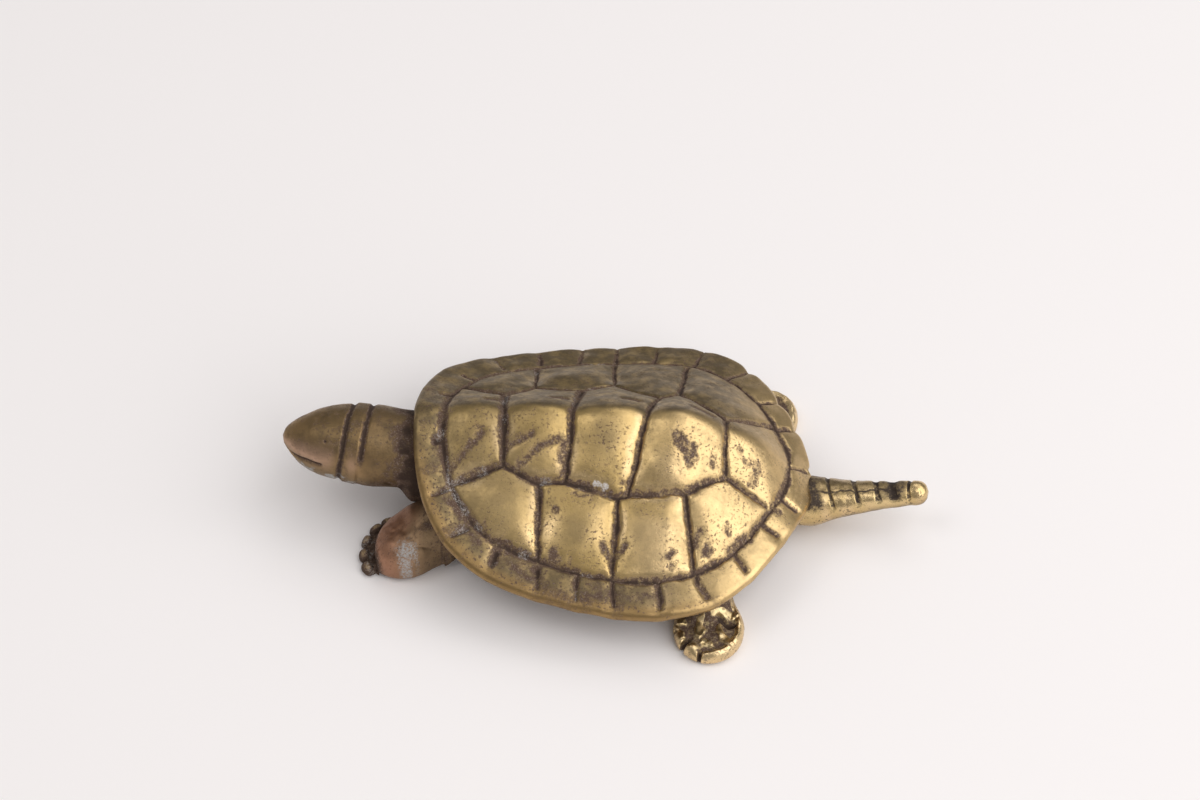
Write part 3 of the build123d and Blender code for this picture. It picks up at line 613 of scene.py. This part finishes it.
# taper skin: ellipses carried along the straight axis from tip to root, each pushed along its own radius; the
# push holds grooves and bosses, gains two wavers and dies out at the tip
def taperSkin(form, wavers, s, turn, radius, push):
    start, axis = np.array(form["tip"], float), np.subtract(form["root"], form["tip"])
    axis = axis / np.linalg.norm(axis)
    side = np.cross((0, 0, 1.0), axis)
    side /= np.linalg.norm(side)
    rise = np.cross(axis, side)

    def rings(push):
        across = (radius[:, None] + push) * np.cos(turn)[None]
        upward = (radius[:, None] * form["flatten"] + push) * np.sin(turn)[None]
        return start + s[:, None, None] * axis + across[..., None] * side + upward[..., None] * rise

    noise = waverReader(rings(np.zeros_like(push)), wavers)
    broad, small = form["uneven"]
    push = push + noise("broad") * broad + noise("small") * small
    return rings(push * np.minimum(1, s / form["tipPlain"])[:, None])


# the head on its ringed neck; reach is the distance from the tip, and bearings turn in degrees round the axis
head = dict(
    tip=(38.8, 0.1, 11.05), root=(15.9, 0.1, 8.95), flatten=0.97, crowding=1.4, blur=0.35, tipRound=0.25,
    reach=(0, 0.35, 1.0, 2.0, 4.0, 6.3, 8.5, 10.8, 13.0, 16.0, 23.5),
    width=(0, 1.05, 1.75, 2.55, 3.70, 4.36, 4.80, 4.98, 4.86, 4.72, 4.7), tipPlain=1.2, grooves=(7.7, 10.0),
    grooveHalf=0.23, grooveDepth=0.21, collar=0.1, mouthAngle=-8, mouthReach=5.6, mouthWidth=0.26,
    mouthDepth=0.34, eyeAt=5.5, eyeAngle=48, eyeWidth=0.2, eyeDepth=0.10, chin=0.32, ridge=0.14,
    flare=1.6, uneven=(0.13, 0.035), rows=300, columns=220)
headWavers = dict(broad=(3.0, 31), small=(1.0, 32), firstRing=(0.45, 46), secondRing=(0.45, 47),
                  blotch=(1.3, 33), mottle=(0.9, 48), rootSlow=(1.8, 34), rootQuick=(0.6, 36), jaw=(0.8, 35))


# head skin: a blunt cone that widens into the neck, with two ring grooves, a mouth line low on each side that
# dips under the tip, and a small worn eye above it
def buildHead():
    s, turn, wide = taper(head)
    along, radius = s[:, None], wide[:, None]
    first, second = head["grooves"]
    half = head["grooveHalf"]
    lean = -0.5 * np.cos(turn - 0.7)[None] - 0.12 * np.cos(2 * turn)[None]
    fade = 1 - 0.92 * window(2.6, 3.05, 5.2, 5.8, turn)[None]  # the second ring dies out low on one side
    toFirst, toSecond = np.abs(along + lean - first), np.abs(along + 0.8 * lean - second)
    ringCut = np.maximum(within(0, 2.4 * half, toFirst), fade * within(0, 2.4 * half, toSecond))
    fromSide = np.arcsin(np.sin(turn))  # angle above the horizontal
    mouthTurn = head["mouthAngle"] + 2.4 * s + 1.5 * np.sin(2.2 * s) - 18 * within(0.4, 2.4, s)
    mouth = bell((fromSide[None] - np.radians(mouthTurn)[:, None]) * radius, head["mouthWidth"])
    mouth = mouth * window(0.1, 0.4, head["mouthReach"] - 0.6, head["mouthReach"], along)
    mouth = mouth * (0.75 + 0.25 * ease(0.9, 2.0, along))
    toEye = np.hypot(along - head["eyeAt"], (fromSide[None] - np.radians(head["eyeAngle"])) * radius)
    collar = window(first, first + 0.5, second - 0.5, second, along + lean)
    chin = bearingBell(turn, 222, 0.7)[None] * window(0.8, 2.5, 5, 8.5, along)
    ridge = bearingBell(turn, 163, 0.3)[None] * window(0.8, 2.0, 4.5, 7.5, along)
    flare = bearingBell(turn, 226, 0.6)[None] * ease(14.3, 16.4, along)
    push = head["chin"] * chin + head["ridge"] * ridge + head["flare"] * flare + head["collar"] * collar
    push = push - head["grooveDepth"] * ringCut - head["mouthDepth"] * mouth
    push = push - head["eyeDepth"] * bell(toEye, head["eyeWidth"])
    skin = taperSkin(head, headWavers, s, turn, wide, push)
    piece = makeObject("headNeck", *skinArrays(skin))
    noise = waverReader(skin, headWavers)
    blotch = ease(-0.3, 0.6, noise("blotch"))
    firstDirt = within(0.4 * half, 2.6 * half, toFirst + 0.14 * noise("firstRing"))
    secondDirt = fade * within(0.4 * half, 2.6 * half, toSecond + 0.14 * noise("secondRing"))
    # darker and more speckled towards the underside
    low = ease(0.12, 0.66, -np.sin(turn))[None] * np.ones_like(along)
    # darker towards the neck's root, where it goes into the shell: painted shade
    deep = ease(11.7, 15.0, along + 1.6 * noise("rootSlow") + 0.8 * noise("rootQuick"))
    deep = deep * (0.80 + 0.2 * blotch)
    mottle = 0.42 * ease(0.0, 0.6, noise("mottle")) * ease(0.5, 2.0, along)
    grimeAndShade = highest(firstDirt, secondDirt, mouth, 1.5 * bell(toEye, 0.19), mottle, deep,
                    low * (0.56 + 0.34 * blotch) * ease(3, 9, along))
    speckle = highest(ease(9.5, 12.5, along) * (0.3 + 0.7 * blotch), 0.6 * low, 0.75 * blotch)
    jaw = bearingBell(turn, 203, 0.24)[None] * window(1.5, 3.5, 8, 11, along)
    # a lighter copper streak along the cheek and by the collar: painted highlight
    cheekHighlight = bearingBell(turn, 160, 0.33)[None] * within(5.5, 7.5, along)
    cheekHighlight = np.maximum(cheekHighlight, 0.7 * bearingBell(turn, 163, 0.3)[None] * bell(along - 8.9, 0.7))
    mark(piece, "grimeAndShade", grimeAndShade, [0, 1])
    mark(piece, "speckle", speckle, [0, 1])
    mark(piece, "chip", jaw * ease(-0.5, 0.3, noise("jaw")), [0, 0])
    mark(piece, "worn", (0.3 + 0.55 * ease(9.6, 11, along)) * (0.6 + 0.4 * blotch), [0, 1])
    mark(piece, "warm", cheekHighlight * (0.7 + 0.3 * blotch), [0.3, 0])
    return piece


dress(buildHead(), "head_and_neck", headFinish)

# the ringed tail; bows lean each ring by an amount about a turn, and blots widen it
tail = dict(
    tip=(-38.8, -0.3, 6.5), root=(-17.4, 0.5, 2.95), flatten=1, crowding=1.3, blur=0.3, tipRound=0.2,
    tipPlain=0.8, reach=(0, 0.22, 0.6, 1.1, 1.6, 2.2, 3.9, 5.8, 8.1, 9.9, 11.7, 13.1, 14.0, 17.0, 21.5),
    width=(0, 0.82, 1.22, 1.43, 1.49, 1.46, 1.58, 1.72, 1.98, 2.24, 2.52, 2.86, 3.1, 2.6, 0.7),
    grooves=(1.95, 4.0, 6.0, 8.4, 11.5), bows=((0.4, 0.9), (0.2, 2.4), (0.2, 2.4), (0.4, 2.4), (0.4, 2.4)),
    blots=(0.9, 2.4, 1.5, 1.2, 0.9), grooveHalf=0.17, grooveDepth=0.16, crest=72, crestWidth=0.16,
    crestDepth=0.10, uneven=(0.07, 0.02), rows=320, columns=140)
tailWavers = dict(broad=(1.3, 41), small=(0.5, 42), blotch=(0.9, 43), root=(1.2, 44))


# tail skin: a slow cone with shallow curved ring grooves, a domed knob and a line along its crest
def buildTail():
    s, turn, radius = taper(tail)
    along, half = s[:, None], tail["grooveHalf"]
    bow = np.stack([-lean * np.cos(turn - at) for lean, at in tail["bows"]])[:, None]
    blot = np.array(tail["blots"])[:, None, None] * (1 + 0.25 * np.sin(3 * turn + 1))
    toRing = (np.abs(along + bow - np.array(tail["grooves"])[:, None, None]) / blot).min(0)
    upper = window(2, 34, 150, 178, np.degrees(fold(turn)))[None]  # the rings die out below
    sway = 0.12 * np.sin(1.7 * along + 0.6) + 0.05 * np.sin(5.3 * along)
    fromCrest = fold(turn - np.radians(tail["crest"]))[None] * radius[:, None] + sway
    line = bell(fromCrest, tail["crestWidth"]) * ease(3.6, 4.4, along)
    push = -tail["grooveDepth"] * within(0.35 * half, 2.0 * half, toRing) * upper
    skin = taperSkin(tail, tailWavers, s, turn, radius, push - tail["crestDepth"] * line)
    piece = makeObject("ringedTail", *skinArrays(skin))
    noise = waverReader(skin, tailWavers)
    blotch = ease(-0.3, 0.6, noise("blotch"))
    ringDirt = within(0.7 * half, 2.4 * half, toRing) * (0.7 + 0.3 * blotch) * upper
    tipDirt = bell(along - 4.2, 1.9) * (0.35 + 0.5 * blotch) * ease(0.45, 0.85, np.sin(turn + 0.25))[None]
    # darker on the upper side of the root, under the shell: painted shade
    rootShade = 0.8 * ease(11.6, 14.2, along + 1.2 * noise("root"))
    rootShade = rootShade * (0.15 + 0.85 * ease(-0.15, 0.35, np.sin(turn - 0.35)))[None]
    # darker along the top, and along the underside as painted shade
    topDarker = 0.75 * ease(0.0, 0.8, np.sin(turn - 0.5))[None] * ease(2.0, 3.0, along)
    lowShade = bell(fold(turn + 0.8), 0.7)[None] * (1 - 0.6 * ease(9, 13, along))
    mark(piece, "grimeAndShade", highest(ringDirt, 0.8 * line, tipDirt, rootShade), [0, 1])
    mark(piece, "worn", np.maximum(topDarker, lowShade), [0, 1])
    mark(piece, "speckle", ease(10, 12.5, along) * blotch, [0, 1])
    # brighter bands beside the rings: rubbed brass with painted highlight
    mark(piece, "polishAndHighlight", bell(toRing - 1.0, 0.5), [1, 0])
    return piece


dress(buildTail(), "tail", tailFinish)

# the four legs: foot and root are places on the floor plan, heading is in degrees, and toes, lobe, slots,
# bead, hollow and ridges are placed ahead of and aside from the foot's middle; hand tells left from right
frontLeg = dict(slot="front_leg_brass", finish=frontLegFinish, padHeight=1.2)
hindLeg = dict(slot="hind_leg_brass", finish=hindLegFinish, padHeight=1.6)
legs = dict(
    frontLeft=frontLeg | dict(
        node="front_left_leg", foot=(23.7, 8.5), root=(13.5, 4.7), pad=(4.55, 4.6), heading=-6,
        arm=(3.6, 3.5), armHeight=(2.5, 7.5),
        lobe=dict(at=(-1.1, 0.9), size=(4.2, 5.0), lift=2.9, dome=2.7),
        toes=((2.9, -3.85), (4.1, -2.5), (4.75, -0.5), (4.6, 1.65), (3.75, 3.5)), toeSize=(0.62, 0.9),
        chalk=(-1.3, 3.5, 1.9), seed=51),
    frontRight=frontLeg | dict(
        node="front_right_leg", foot=(10.7, -16.9), root=(7.9, -12.6), pad=(4.2, 4.4), heading=-40,
        arm=(3.3, 3.2), armHeight=(2.7, 5.6),
        lobe=dict(at=(-1.2, -0.6), size=(4.0, 4.3), lift=2.9, dome=2.5),
        toes=((3.3, -3.3), (4.1, -1.7), (4.4, 0.2), (3.9, 2.1), (3.0, 3.6)), toeSize=(1.1, 0.9), seed=52),
    hindLeft=hindLeg | dict(
        node="hind_left_leg", foot=(-13.5, 18.0), root=(-12.9, 12.0), pad=(4.62, 4.15), heading=90,
        arm=(2.7, 3.3), armHeight=(-1.2, 3.6), hand=1,
        slots=((-45, 1.5, 0.3), (-12, 0.9, 0.2), (-78, 0.5, 0.15)), bead=(3.3, -1.8),
        hollow=(-0.6, 1.1, -0.3, 3.0),
        ridges=((-1.4, 0.8, -1.7, 3.0), (-0.6, -0.9, 1.4, -1.0), (0.5, 1.1, 2.5, 2.6),
                (2.3, -0.3, 2.8, 0.2), (-0.8, -3.4, 0.0, -3.3), (1.5, -3.3, 2.2, -3.0)), seed=53),
    hindRight=hindLeg | dict(
        node="hind_right_leg", foot=(-19.2, -15.4), root=(-16.0, -10.8), pad=(4.4, 3.8), heading=-90,
        arm=(2.8, 3.2), armHeight=(-1.2, 3.6), hand=-1,
        slots=((45, 1.3, 0.25), (12, 1.0, 0.2), (78, 0.5, 0.15)), bead=(3.0, 1.7),
        hollow=(0.6, -1.4, 1.6, -0.2),
        ridges=((-1.2, -0.8, -1.5, -2.6), (-0.4, 1.0, 1.2, 1.2), (2.2, 0.2, 2.5, -0.6),
                (0.4, 3.0, 1.2, 2.9)), seed=54))
legForm = dict(rows=108, columns=400, armPast=1.0, armBlend=0.4, lobeBlend=0.8, toeFloor=0.8, toeRise=0.75,
               slotCut=0.3, slotFloor=0.75, rimRise=0.45, ridgeRise=0.28, hollowDepth=0.45, armHollow=0.6,
               beadRise=0.5, middleShare=0.45, floorGap=0.02)
# wavers of a leg, with seeds counted from the leg's own
legWavers = dict(pad=(0.9, 0), handX=(0.9, 1), handY=(0.9, 2), ridge=(0.5, 3), blotch=(1.0, 4), root=(1.1, 5),
                 chalk=(0.7, 6), toe=(0.5, 7), rim=(0.8, 8), warm=(1.5, 9), lobeBroad=(1.6, 10),
                 lobeSmall=(0.6, 11))


# softer of two heights: the log of the sum of their exponentials
def softMax(a, b, blend):
    return blend * np.logaddexp(a / blend, b / blend)


# leg plan: an oval foot joined with a straight arm by a ninth-power sum, pushed out by toes with cubic
# outlines and cut in at the slots, spread over a polar grid about the foot; p and q are places ahead of and
# aside from the foot's middle, and t is the share of the way along the arm
def legPlan(leg):
    heading = np.radians(leg["heading"])
    ahead, aside = np.array([np.cos(heading), np.sin(heading)]), np.array([-np.sin(heading), np.cos(heading)])
    arm = np.subtract(leg["root"], leg["foot"])
    reach = np.linalg.norm(arm)
    across = np.array([-arm[1], arm[0]]) / reach
    rootHalf, footHalf = leg["arm"]
    turn = np.linspace(0, circle, legForm["columns"], endpoint=False)
    way = np.stack([np.cos(turn), np.sin(turn)], -1)
    oval = 1 / np.hypot(way @ ahead / leg["pad"][0], way @ aside / leg["pad"][1])
    along, off = way @ arm / reach, np.abs(way @ across)
    sideReach = footHalf / np.maximum(off - (rootHalf - footHalf) / reach * along, tiny)
    endReach = (reach + legForm["armPast"]) / np.maximum(along, tiny)
    bar = np.where(along > 0, np.minimum(sideReach, endReach), 0.1)
    outline = (oval ** 9 + bar ** 9) ** (1 / 9)
    for a, b in leg.get("toes", ()):
        far, (long, wide) = np.hypot(a, b), leg["toeSize"]
        near = fold(turn - np.arctan2(b, a) - heading)
        off = np.abs(far * np.sin(near)) / wide
        tip = far * np.cos(near) + long * np.maximum(1 - off ** 3, 0) ** (1 / 3)
        outline = np.where((off < 1) & (np.cos(near) > 0), np.maximum(outline, tip), outline)
    for slotTurn, deep, wide in leg.get("slots", ()):
        near = fold(turn - np.radians(slotTurn) - heading)
        outline = outline - legForm["slotCut"] * deep * within(0.7 * wide, 1.6 * wide, np.abs(near) * outline)
    share = np.linspace(0.01, 1, legForm["rows"]) ** 0.8
    flat = share[:, None, None] * (outline[:, None] * way)[None]
    spot = raised(flat + np.array(leg["foot"]), np.zeros(flat.shape[:-1]))
    armShare = flat @ arm / reach ** 2
    t = np.clip(armShare, 0, 1)
    thick = footHalf + (rootHalf - footHalf) * t
    middle = leg["armHeight"][0] + (leg["armHeight"][1] - leg["armHeight"][0]) * t
    bow = np.sqrt(np.clip(1 - (np.abs(flat @ across) / thick) ** 2, 0, 1))
    return SimpleNamespace(
        heading=heading, turn=turn, outline=outline, share=share, flat=flat, p=flat @ ahead, q=flat @ aside,
        t=t, armTop=(middle + thick * bow) * ease(-0.25, 0.15, armShare) * (bow > 0),
        armLow=middle - thick * bow, noise=waverReader(spot, legWavers, leg["seed"]))


# front foot: a low pad with bead toes of cubic outline, a half ellipsoid lobe over it and the round arm;
# returns the height and the layers of its finish
def frontFoot(leg, plan, pad, blotch):
    noise, p, q, t = plan.noise, plan.p, plan.q, plan.t
    long, wide = leg["toeSize"]
    toToe = np.full(p.shape, np.inf)
    for a, b in leg["toes"]:
        far = np.hypot(a, b)
        u, w = (p * a + q * b) / far - far, (q * a - p * b) / far
        toToe = np.minimum(toToe, (np.abs(u / long) ** 3 + np.abs(w / wide) ** 3) ** (1 / 3))
    beads = np.sqrt(np.clip(1 - toToe ** 2, 0, 1))
    toeTop = legForm["toeFloor"] + legForm["toeRise"] * beads + 0.1 * noise("toe")
    top = np.where(toToe < 1.9, toeTop, pad)
    lobe = leg["lobe"]
    crown = 1 - ((p - lobe["at"][0]) / lobe["size"][0]) ** 2 - ((q - lobe["at"][1]) / lobe["size"][1]) ** 2
    lobeTop = lobe["lift"] + lobe["dome"] * np.sqrt(np.clip(crown, 0, 1))
    lobeTop = lobeTop + 0.16 * noise("lobeBroad") + 0.07 * noise("lobeSmall")
    overLobe = np.maximum(top, softMax(lobeTop, plan.armTop, legForm["lobeBlend"]))
    top = np.where(crown > 0, overLobe, softMax(top, plan.armTop, legForm["armBlend"]))
    lobeDirt = np.maximum(0.45 * blotch * ease(-0.1, 0.7, t), 0.62 * within(0.04, 0.30, crown))
    toeDirt = (0.86 - 0.34 * ease(0.6, 1.0, beads)) * (1 - 0.9 * ease(0.1, 0.3, t))
    # darker towards the arm's root under the shell: painted shade
    rootShade = ease(0.10, 0.55, t + 0.22 * noise("root")) * (0.55 + 0.40 * blotch)
    grimeAndShade = np.maximum(np.where(crown > 0.04, lobeDirt, toeDirt), rootShade)
    chip = np.zeros_like(grimeAndShade)
    if "chalk" in leg:
        a, b, size = leg["chalk"]
        chip = 0.72 * ease(0.05, 1.0, bell(np.hypot(p - a, q - b), size) + 0.3 * noise("chalk"))
    toeChip = np.maximum(chip * ease(-0.1, 0.1, t), 0.38 * blotch * within(0, 0.2, t))
    warm = ease(-3.5, 1.5, p + 0.8 * noise("warm")) * 0.9 * (crown > 0)
    # tarnish towards the arm's root: painted shade
    worn = ease(-0.2, 0.35, t) * 0.85
    chip = np.where(crown > 0, chip, toeChip)
    return top, dict(grimeAndShade=grimeAndShade, chip=chip, worn=worn, warm=warm, polishAndHighlight=beads * 0.9)


# hind foot: a flat paddle with a rolled rim, raised ridges, a hollow, a bead toe and cut slots, and the round
# arm; returns the height and the layers of its finish
def hindFoot(leg, plan, pad, blotch):
    noise, p, q, t = plan.noise, plan.p, plan.q, plan.t
    edge = (1 - plan.share)[:, None] * plan.outline[None]
    bearing = leg["hand"] * np.degrees(plan.turn) % 360
    band = (0.25 + 0.75 * window(78, 92, 225, 250, bearing))[None]
    local = np.stack([p, q], -1) + np.stack([noise("handX"), noise("handY")], -1) * 0.4
    ridge = within(0.30, 0.62, lineDistance(local, leg["ridges"]) + 0.2 * noise("ridge"))
    pit = within(0.2, 0.6, lineDistance(local, [leg["hollow"]]))
    toBead = np.hypot(p - leg["bead"][0], q - leg["bead"][1])
    top = pad + legForm["rimRise"] * band * bell(edge - 0.55, 0.6) + legForm["ridgeRise"] * ridge
    top = top - legForm["hollowDepth"] * pit + legForm["beadRise"] * bell(toBead, 0.8)
    top = softMax(top, plan.armTop - legForm["armHollow"] * pit, legForm["armBlend"])
    split = np.zeros_like(top)
    for slotTurn, deep, wide in leg["slots"]:
        near = fold(plan.turn - np.radians(slotTurn) - plan.heading)
        toSlot = np.abs(near)[None] * plan.share[:, None] * plan.outline[None]
        split = np.maximum(split, within(0.8 * wide, 1.7 * wide, toSlot) * within(0.6 * deep, deep, edge))
    top = top + (legForm["slotFloor"] - top) * split
    rim = within(0.3 + 0.5 * band, 0.6 + 0.6 * band, edge + 0.25 * noise("rim"))
    # brighter rim and bead: painted highlight
    rimAndBeadHighlight = np.maximum(rim, bell(toBead, 0.75)) * (1 - split)
    padDirt = (1 - rimAndBeadHighlight) * (0.66 + 0.1 * blotch) * (1 - 0.95 * ridge)
    # darker towards the arm's root under the shell: painted shade
    rootShade = (0.6 + 0.3 * blotch) * ease(0.2, 0.45, t) * (1 - 0.8 * np.maximum(rimAndBeadHighlight, ridge))
    plain = np.zeros_like(top)
    grimeAndShade = highest(padDirt, rootShade, 0.95 * pit * (1 - ridge), split)
    return top, dict(grimeAndShade=grimeAndShade, chip=plain, worn=plain, warm=plain, polishAndHighlight=rimAndBeadHighlight * 0.9)


# leg skin: the foot's top and a flat sole that lifts under the arm, both rounded into a common edge by a
# superellipse
def buildLeg(name, leg):
    plan = legPlan(leg)
    blotch = ease(-0.3, 0.5, plan.noise("blotch"))
    pad = leg["padHeight"] + plan.noise("pad") * 0.16
    shape = frontFoot if "toes" in leg else hindFoot
    top, layers = shape(leg, plan, pad, blotch)
    sole = np.maximum(0, plan.armLow) * ease(0.35, 0.8, plan.t)
    halfway = legForm["middleShare"] * top + (1 - legForm["middleShare"]) * sole
    rounding = ((1 - plan.share ** 9) ** (1 / 2.5))[:, None]
    upper = raised(plan.flat, halfway + (top - halfway) * rounding)
    lower = raised(plan.flat, halfway + (sole - halfway) * rounding)
    rings = np.concatenate([upper, lower[::-1][1:]])
    rings += np.array([*leg["foot"], legForm["floorGap"]])
    piece = makeObject(name, *skinArrays(rings))
    # specks thicken towards the arm's root, and the sole is darkened below: painted shade
    layers["speckle"] = np.maximum(0.6 * blotch, 0.95 * ease(0.1, 0.4, plan.t))
    underMiddle = dict(grimeAndShade=0.8, chip=0.0, speckle=0.5, worn=0.5, warm=0.0, polishAndHighlight=0.0)
    under = (1 - plan.share[::-1][1:] ** 6)[:, None]  # 0 at the foot's edge, 1 under its middle
    for layer, end in underMiddle.items():
        values = layers[layer]
        sides = end * under + values[-1] * (1 - under)
        mark(piece, layer, np.concatenate([values, sides]), [values[0, 0], end])
    return piece


for name, leg in legs.items():
    dress(buildLeg(name + "Leg", leg), leg["node"], leg["finish"])

# the belly plate and the sides that carry the shell
belly = dict(low=2.3, tuck=1.6, lidSink=0.9, bellyScale=0.68, waistScale=0.80, seamDepth=0.4, seamHalf=0.35,
             seamsAt=(-10.5, -4.5, 1.5, 7.5, 12.5), edgeRise=1.0, edgeFrom=0.86, columns=360,
             rows=70, wallRows=15, lidRows=11)
bellyWavers = dict(seam=(1.5, 61), plate=(4.0, 62))


# belly skin: a flat plate with a rounded edge that leans out and up until it tucks into the shell, closed
# over by a lid that follows the shell from inside
def buildBelly():
    rim = rimOutline(np.linspace(0, circle, belly["columns"], endpoint=False))
    share = np.append(np.linspace(0.02, 1, belly["rows"]), 1)
    flat = share[:, None, None] * rim[None] * belly["bellyScale"]
    noise = waverReader(raised(flat, np.zeros(flat.shape[:-1])), bellyWavers)
    across = [(x, -shell["halfWidth"], x, shell["halfWidth"]) for x in belly["seamsAt"]]
    toSeam = np.minimum(np.abs(flat[..., 1]), lineDistance(flat, across)) + 0.1 * noise("seam")
    half = belly["seamHalf"]
    plate = belly["low"] + belly["seamDepth"] * within(0.4 * half, 1.4 * half, toSeam)
    plate = plate + noise("plate") * 0.08
    plate = plate + belly["edgeRise"] * ease(belly["edgeFrom"], 1.0, share)[:, None] ** 2
    lift = np.linspace(0, 1, belly["wallRows"] + 1)[1:, None]
    scale = belly["bellyScale"] + (belly["waistScale"] - belly["bellyScale"]) * np.sin(lift * np.pi / 2)
    side = rim[None] * scale[..., None]
    waist = backHeight(*side[-1].T) - belly["tuck"]
    wall = raised(side, plate[-1][None] + (waist - plate[-1])[None] * lift ** 1.3)
    inward = np.linspace(1, 0.05, belly["lidRows"] + 1)[1:, None]
    lid = inward[..., None] * side[-1][None]
    cover = backHeight(lid[..., 0], lid[..., 1]) - belly["tuck"] - belly["lidSink"] * (1 - inward)
    rings = np.concatenate([raised(flat, plate), wall, raised(lid, cover)])
    rings[..., 0] += shell["middle"]
    piece = makeObject("bellyPlate", *skinArrays(rings))
    # the sides and the lid darkened: painted shade under the shell
    grimeAndShade = np.concatenate([within(0.7 * half, 2 * half, toSeam), np.full(wall.shape[:2], 0.8),
                            np.ones(lid.shape[:2])])
    mark(piece, "grimeAndShade", grimeAndShade, [0.5, 1])
    return piece


dress(buildBelly(), "plastron", bodyFinish)

# pale floor, soft light and camera; lamps are placed in metres, the camera in millimetres, and aim is the
# picture point where the shell's middle falls
stage = dict(floorColour=(0.97, 0.930, 0.925), floorSize=4.0, floorDepth=0.00003, floorRough=0.9,
             roomColour=(1, 0.985, 0.97), room=0.325, focal=81.0, sensor=36, picture=(1200, 800),
             clip=(0.01, 20), cameraAt=(-17.66, 208.28, 256.02), aim=(631.06, 473.55),
             lamps=(dict(place=(-0.58, 0.26, 0.60), size=1.20, power=8.2),
                    dict(place=(0.34, 0.10, 0.62), size=0.30, power=0.50),
                    dict(place=(-0.12, -0.34, 0.62), size=0.40, power=0.5)))


def buildFloor():
    bpy.ops.mesh.primitive_plane_add(size=stage["floorSize"], location=(0, 0, -stage["floorDepth"]))
    floor = bpy.context.object
    floor.name = "paleFloor"
    paint = bpy.data.materials.new("palePaper")
    paint.use_nodes = True
    shader = paint.node_tree.nodes["Principled BSDF"]
    shader.inputs["Base Color"].default_value = (*stage["floorColour"], 1)
    shader.inputs["Roughness"].default_value = stage["floorRough"]
    floor.data.materials.append(paint)


def buildLight():
    for k, lamp in enumerate(stage["lamps"]):
        light = bpy.data.lights.new("softbox%d" % (k + 1), "AREA")
        light.size, light.energy = lamp["size"], lamp["power"]
        box = bpy.data.objects.new(light.name, light)
        box.location = lamp["place"]
        box.rotation_euler = (-Vector(lamp["place"])).to_track_quat("-Z", "Y").to_euler()
        bpy.context.scene.collection.objects.link(box)
    world = bpy.data.worlds.new("softRoom")
    bpy.context.scene.world = world
    world.use_nodes = True
    room = world.node_tree.nodes["Background"]
    room.inputs["Color"].default_value = (*stage["roomColour"], 1)
    room.inputs["Strength"].default_value = stage["room"]


def buildCamera():
    lens = bpy.data.cameras.new("camera")
    lens.lens, lens.sensor_width = stage["focal"], stage["sensor"]
    lens.clip_start, lens.clip_end = stage["clip"]
    camera = bpy.data.objects.new("camera", lens)
    bpy.context.scene.collection.objects.link(camera)
    place = Vector(stage["cameraAt"])
    back = (place - Vector((shell["middle"], 0, shell["rimHeight"]))).normalized()
    right = Vector((0, 0, 1)).cross(back).normalized()
    up = back.cross(right)
    wide, high = stage["picture"]
    pixels = stage["focal"] / stage["sensor"] * wide
    aside, above = (wide / 2 - stage["aim"][0]) / pixels, (high / 2 - stage["aim"][1]) / pixels
    ahead = (right * aside - up * above - back).normalized()
    right = (right - ahead * right.dot(ahead)).normalized()
    up = right.cross(ahead)
    camera.matrix_world = Matrix.Translation(place * mm) @ Matrix((right, up, -ahead)).transposed().to_4x4()
    bpy.context.scene.camera = camera


buildFloor()
buildLight()
buildCamera()
bpy.context.scene.view_settings.view_transform = "Standard"
print("stage set")
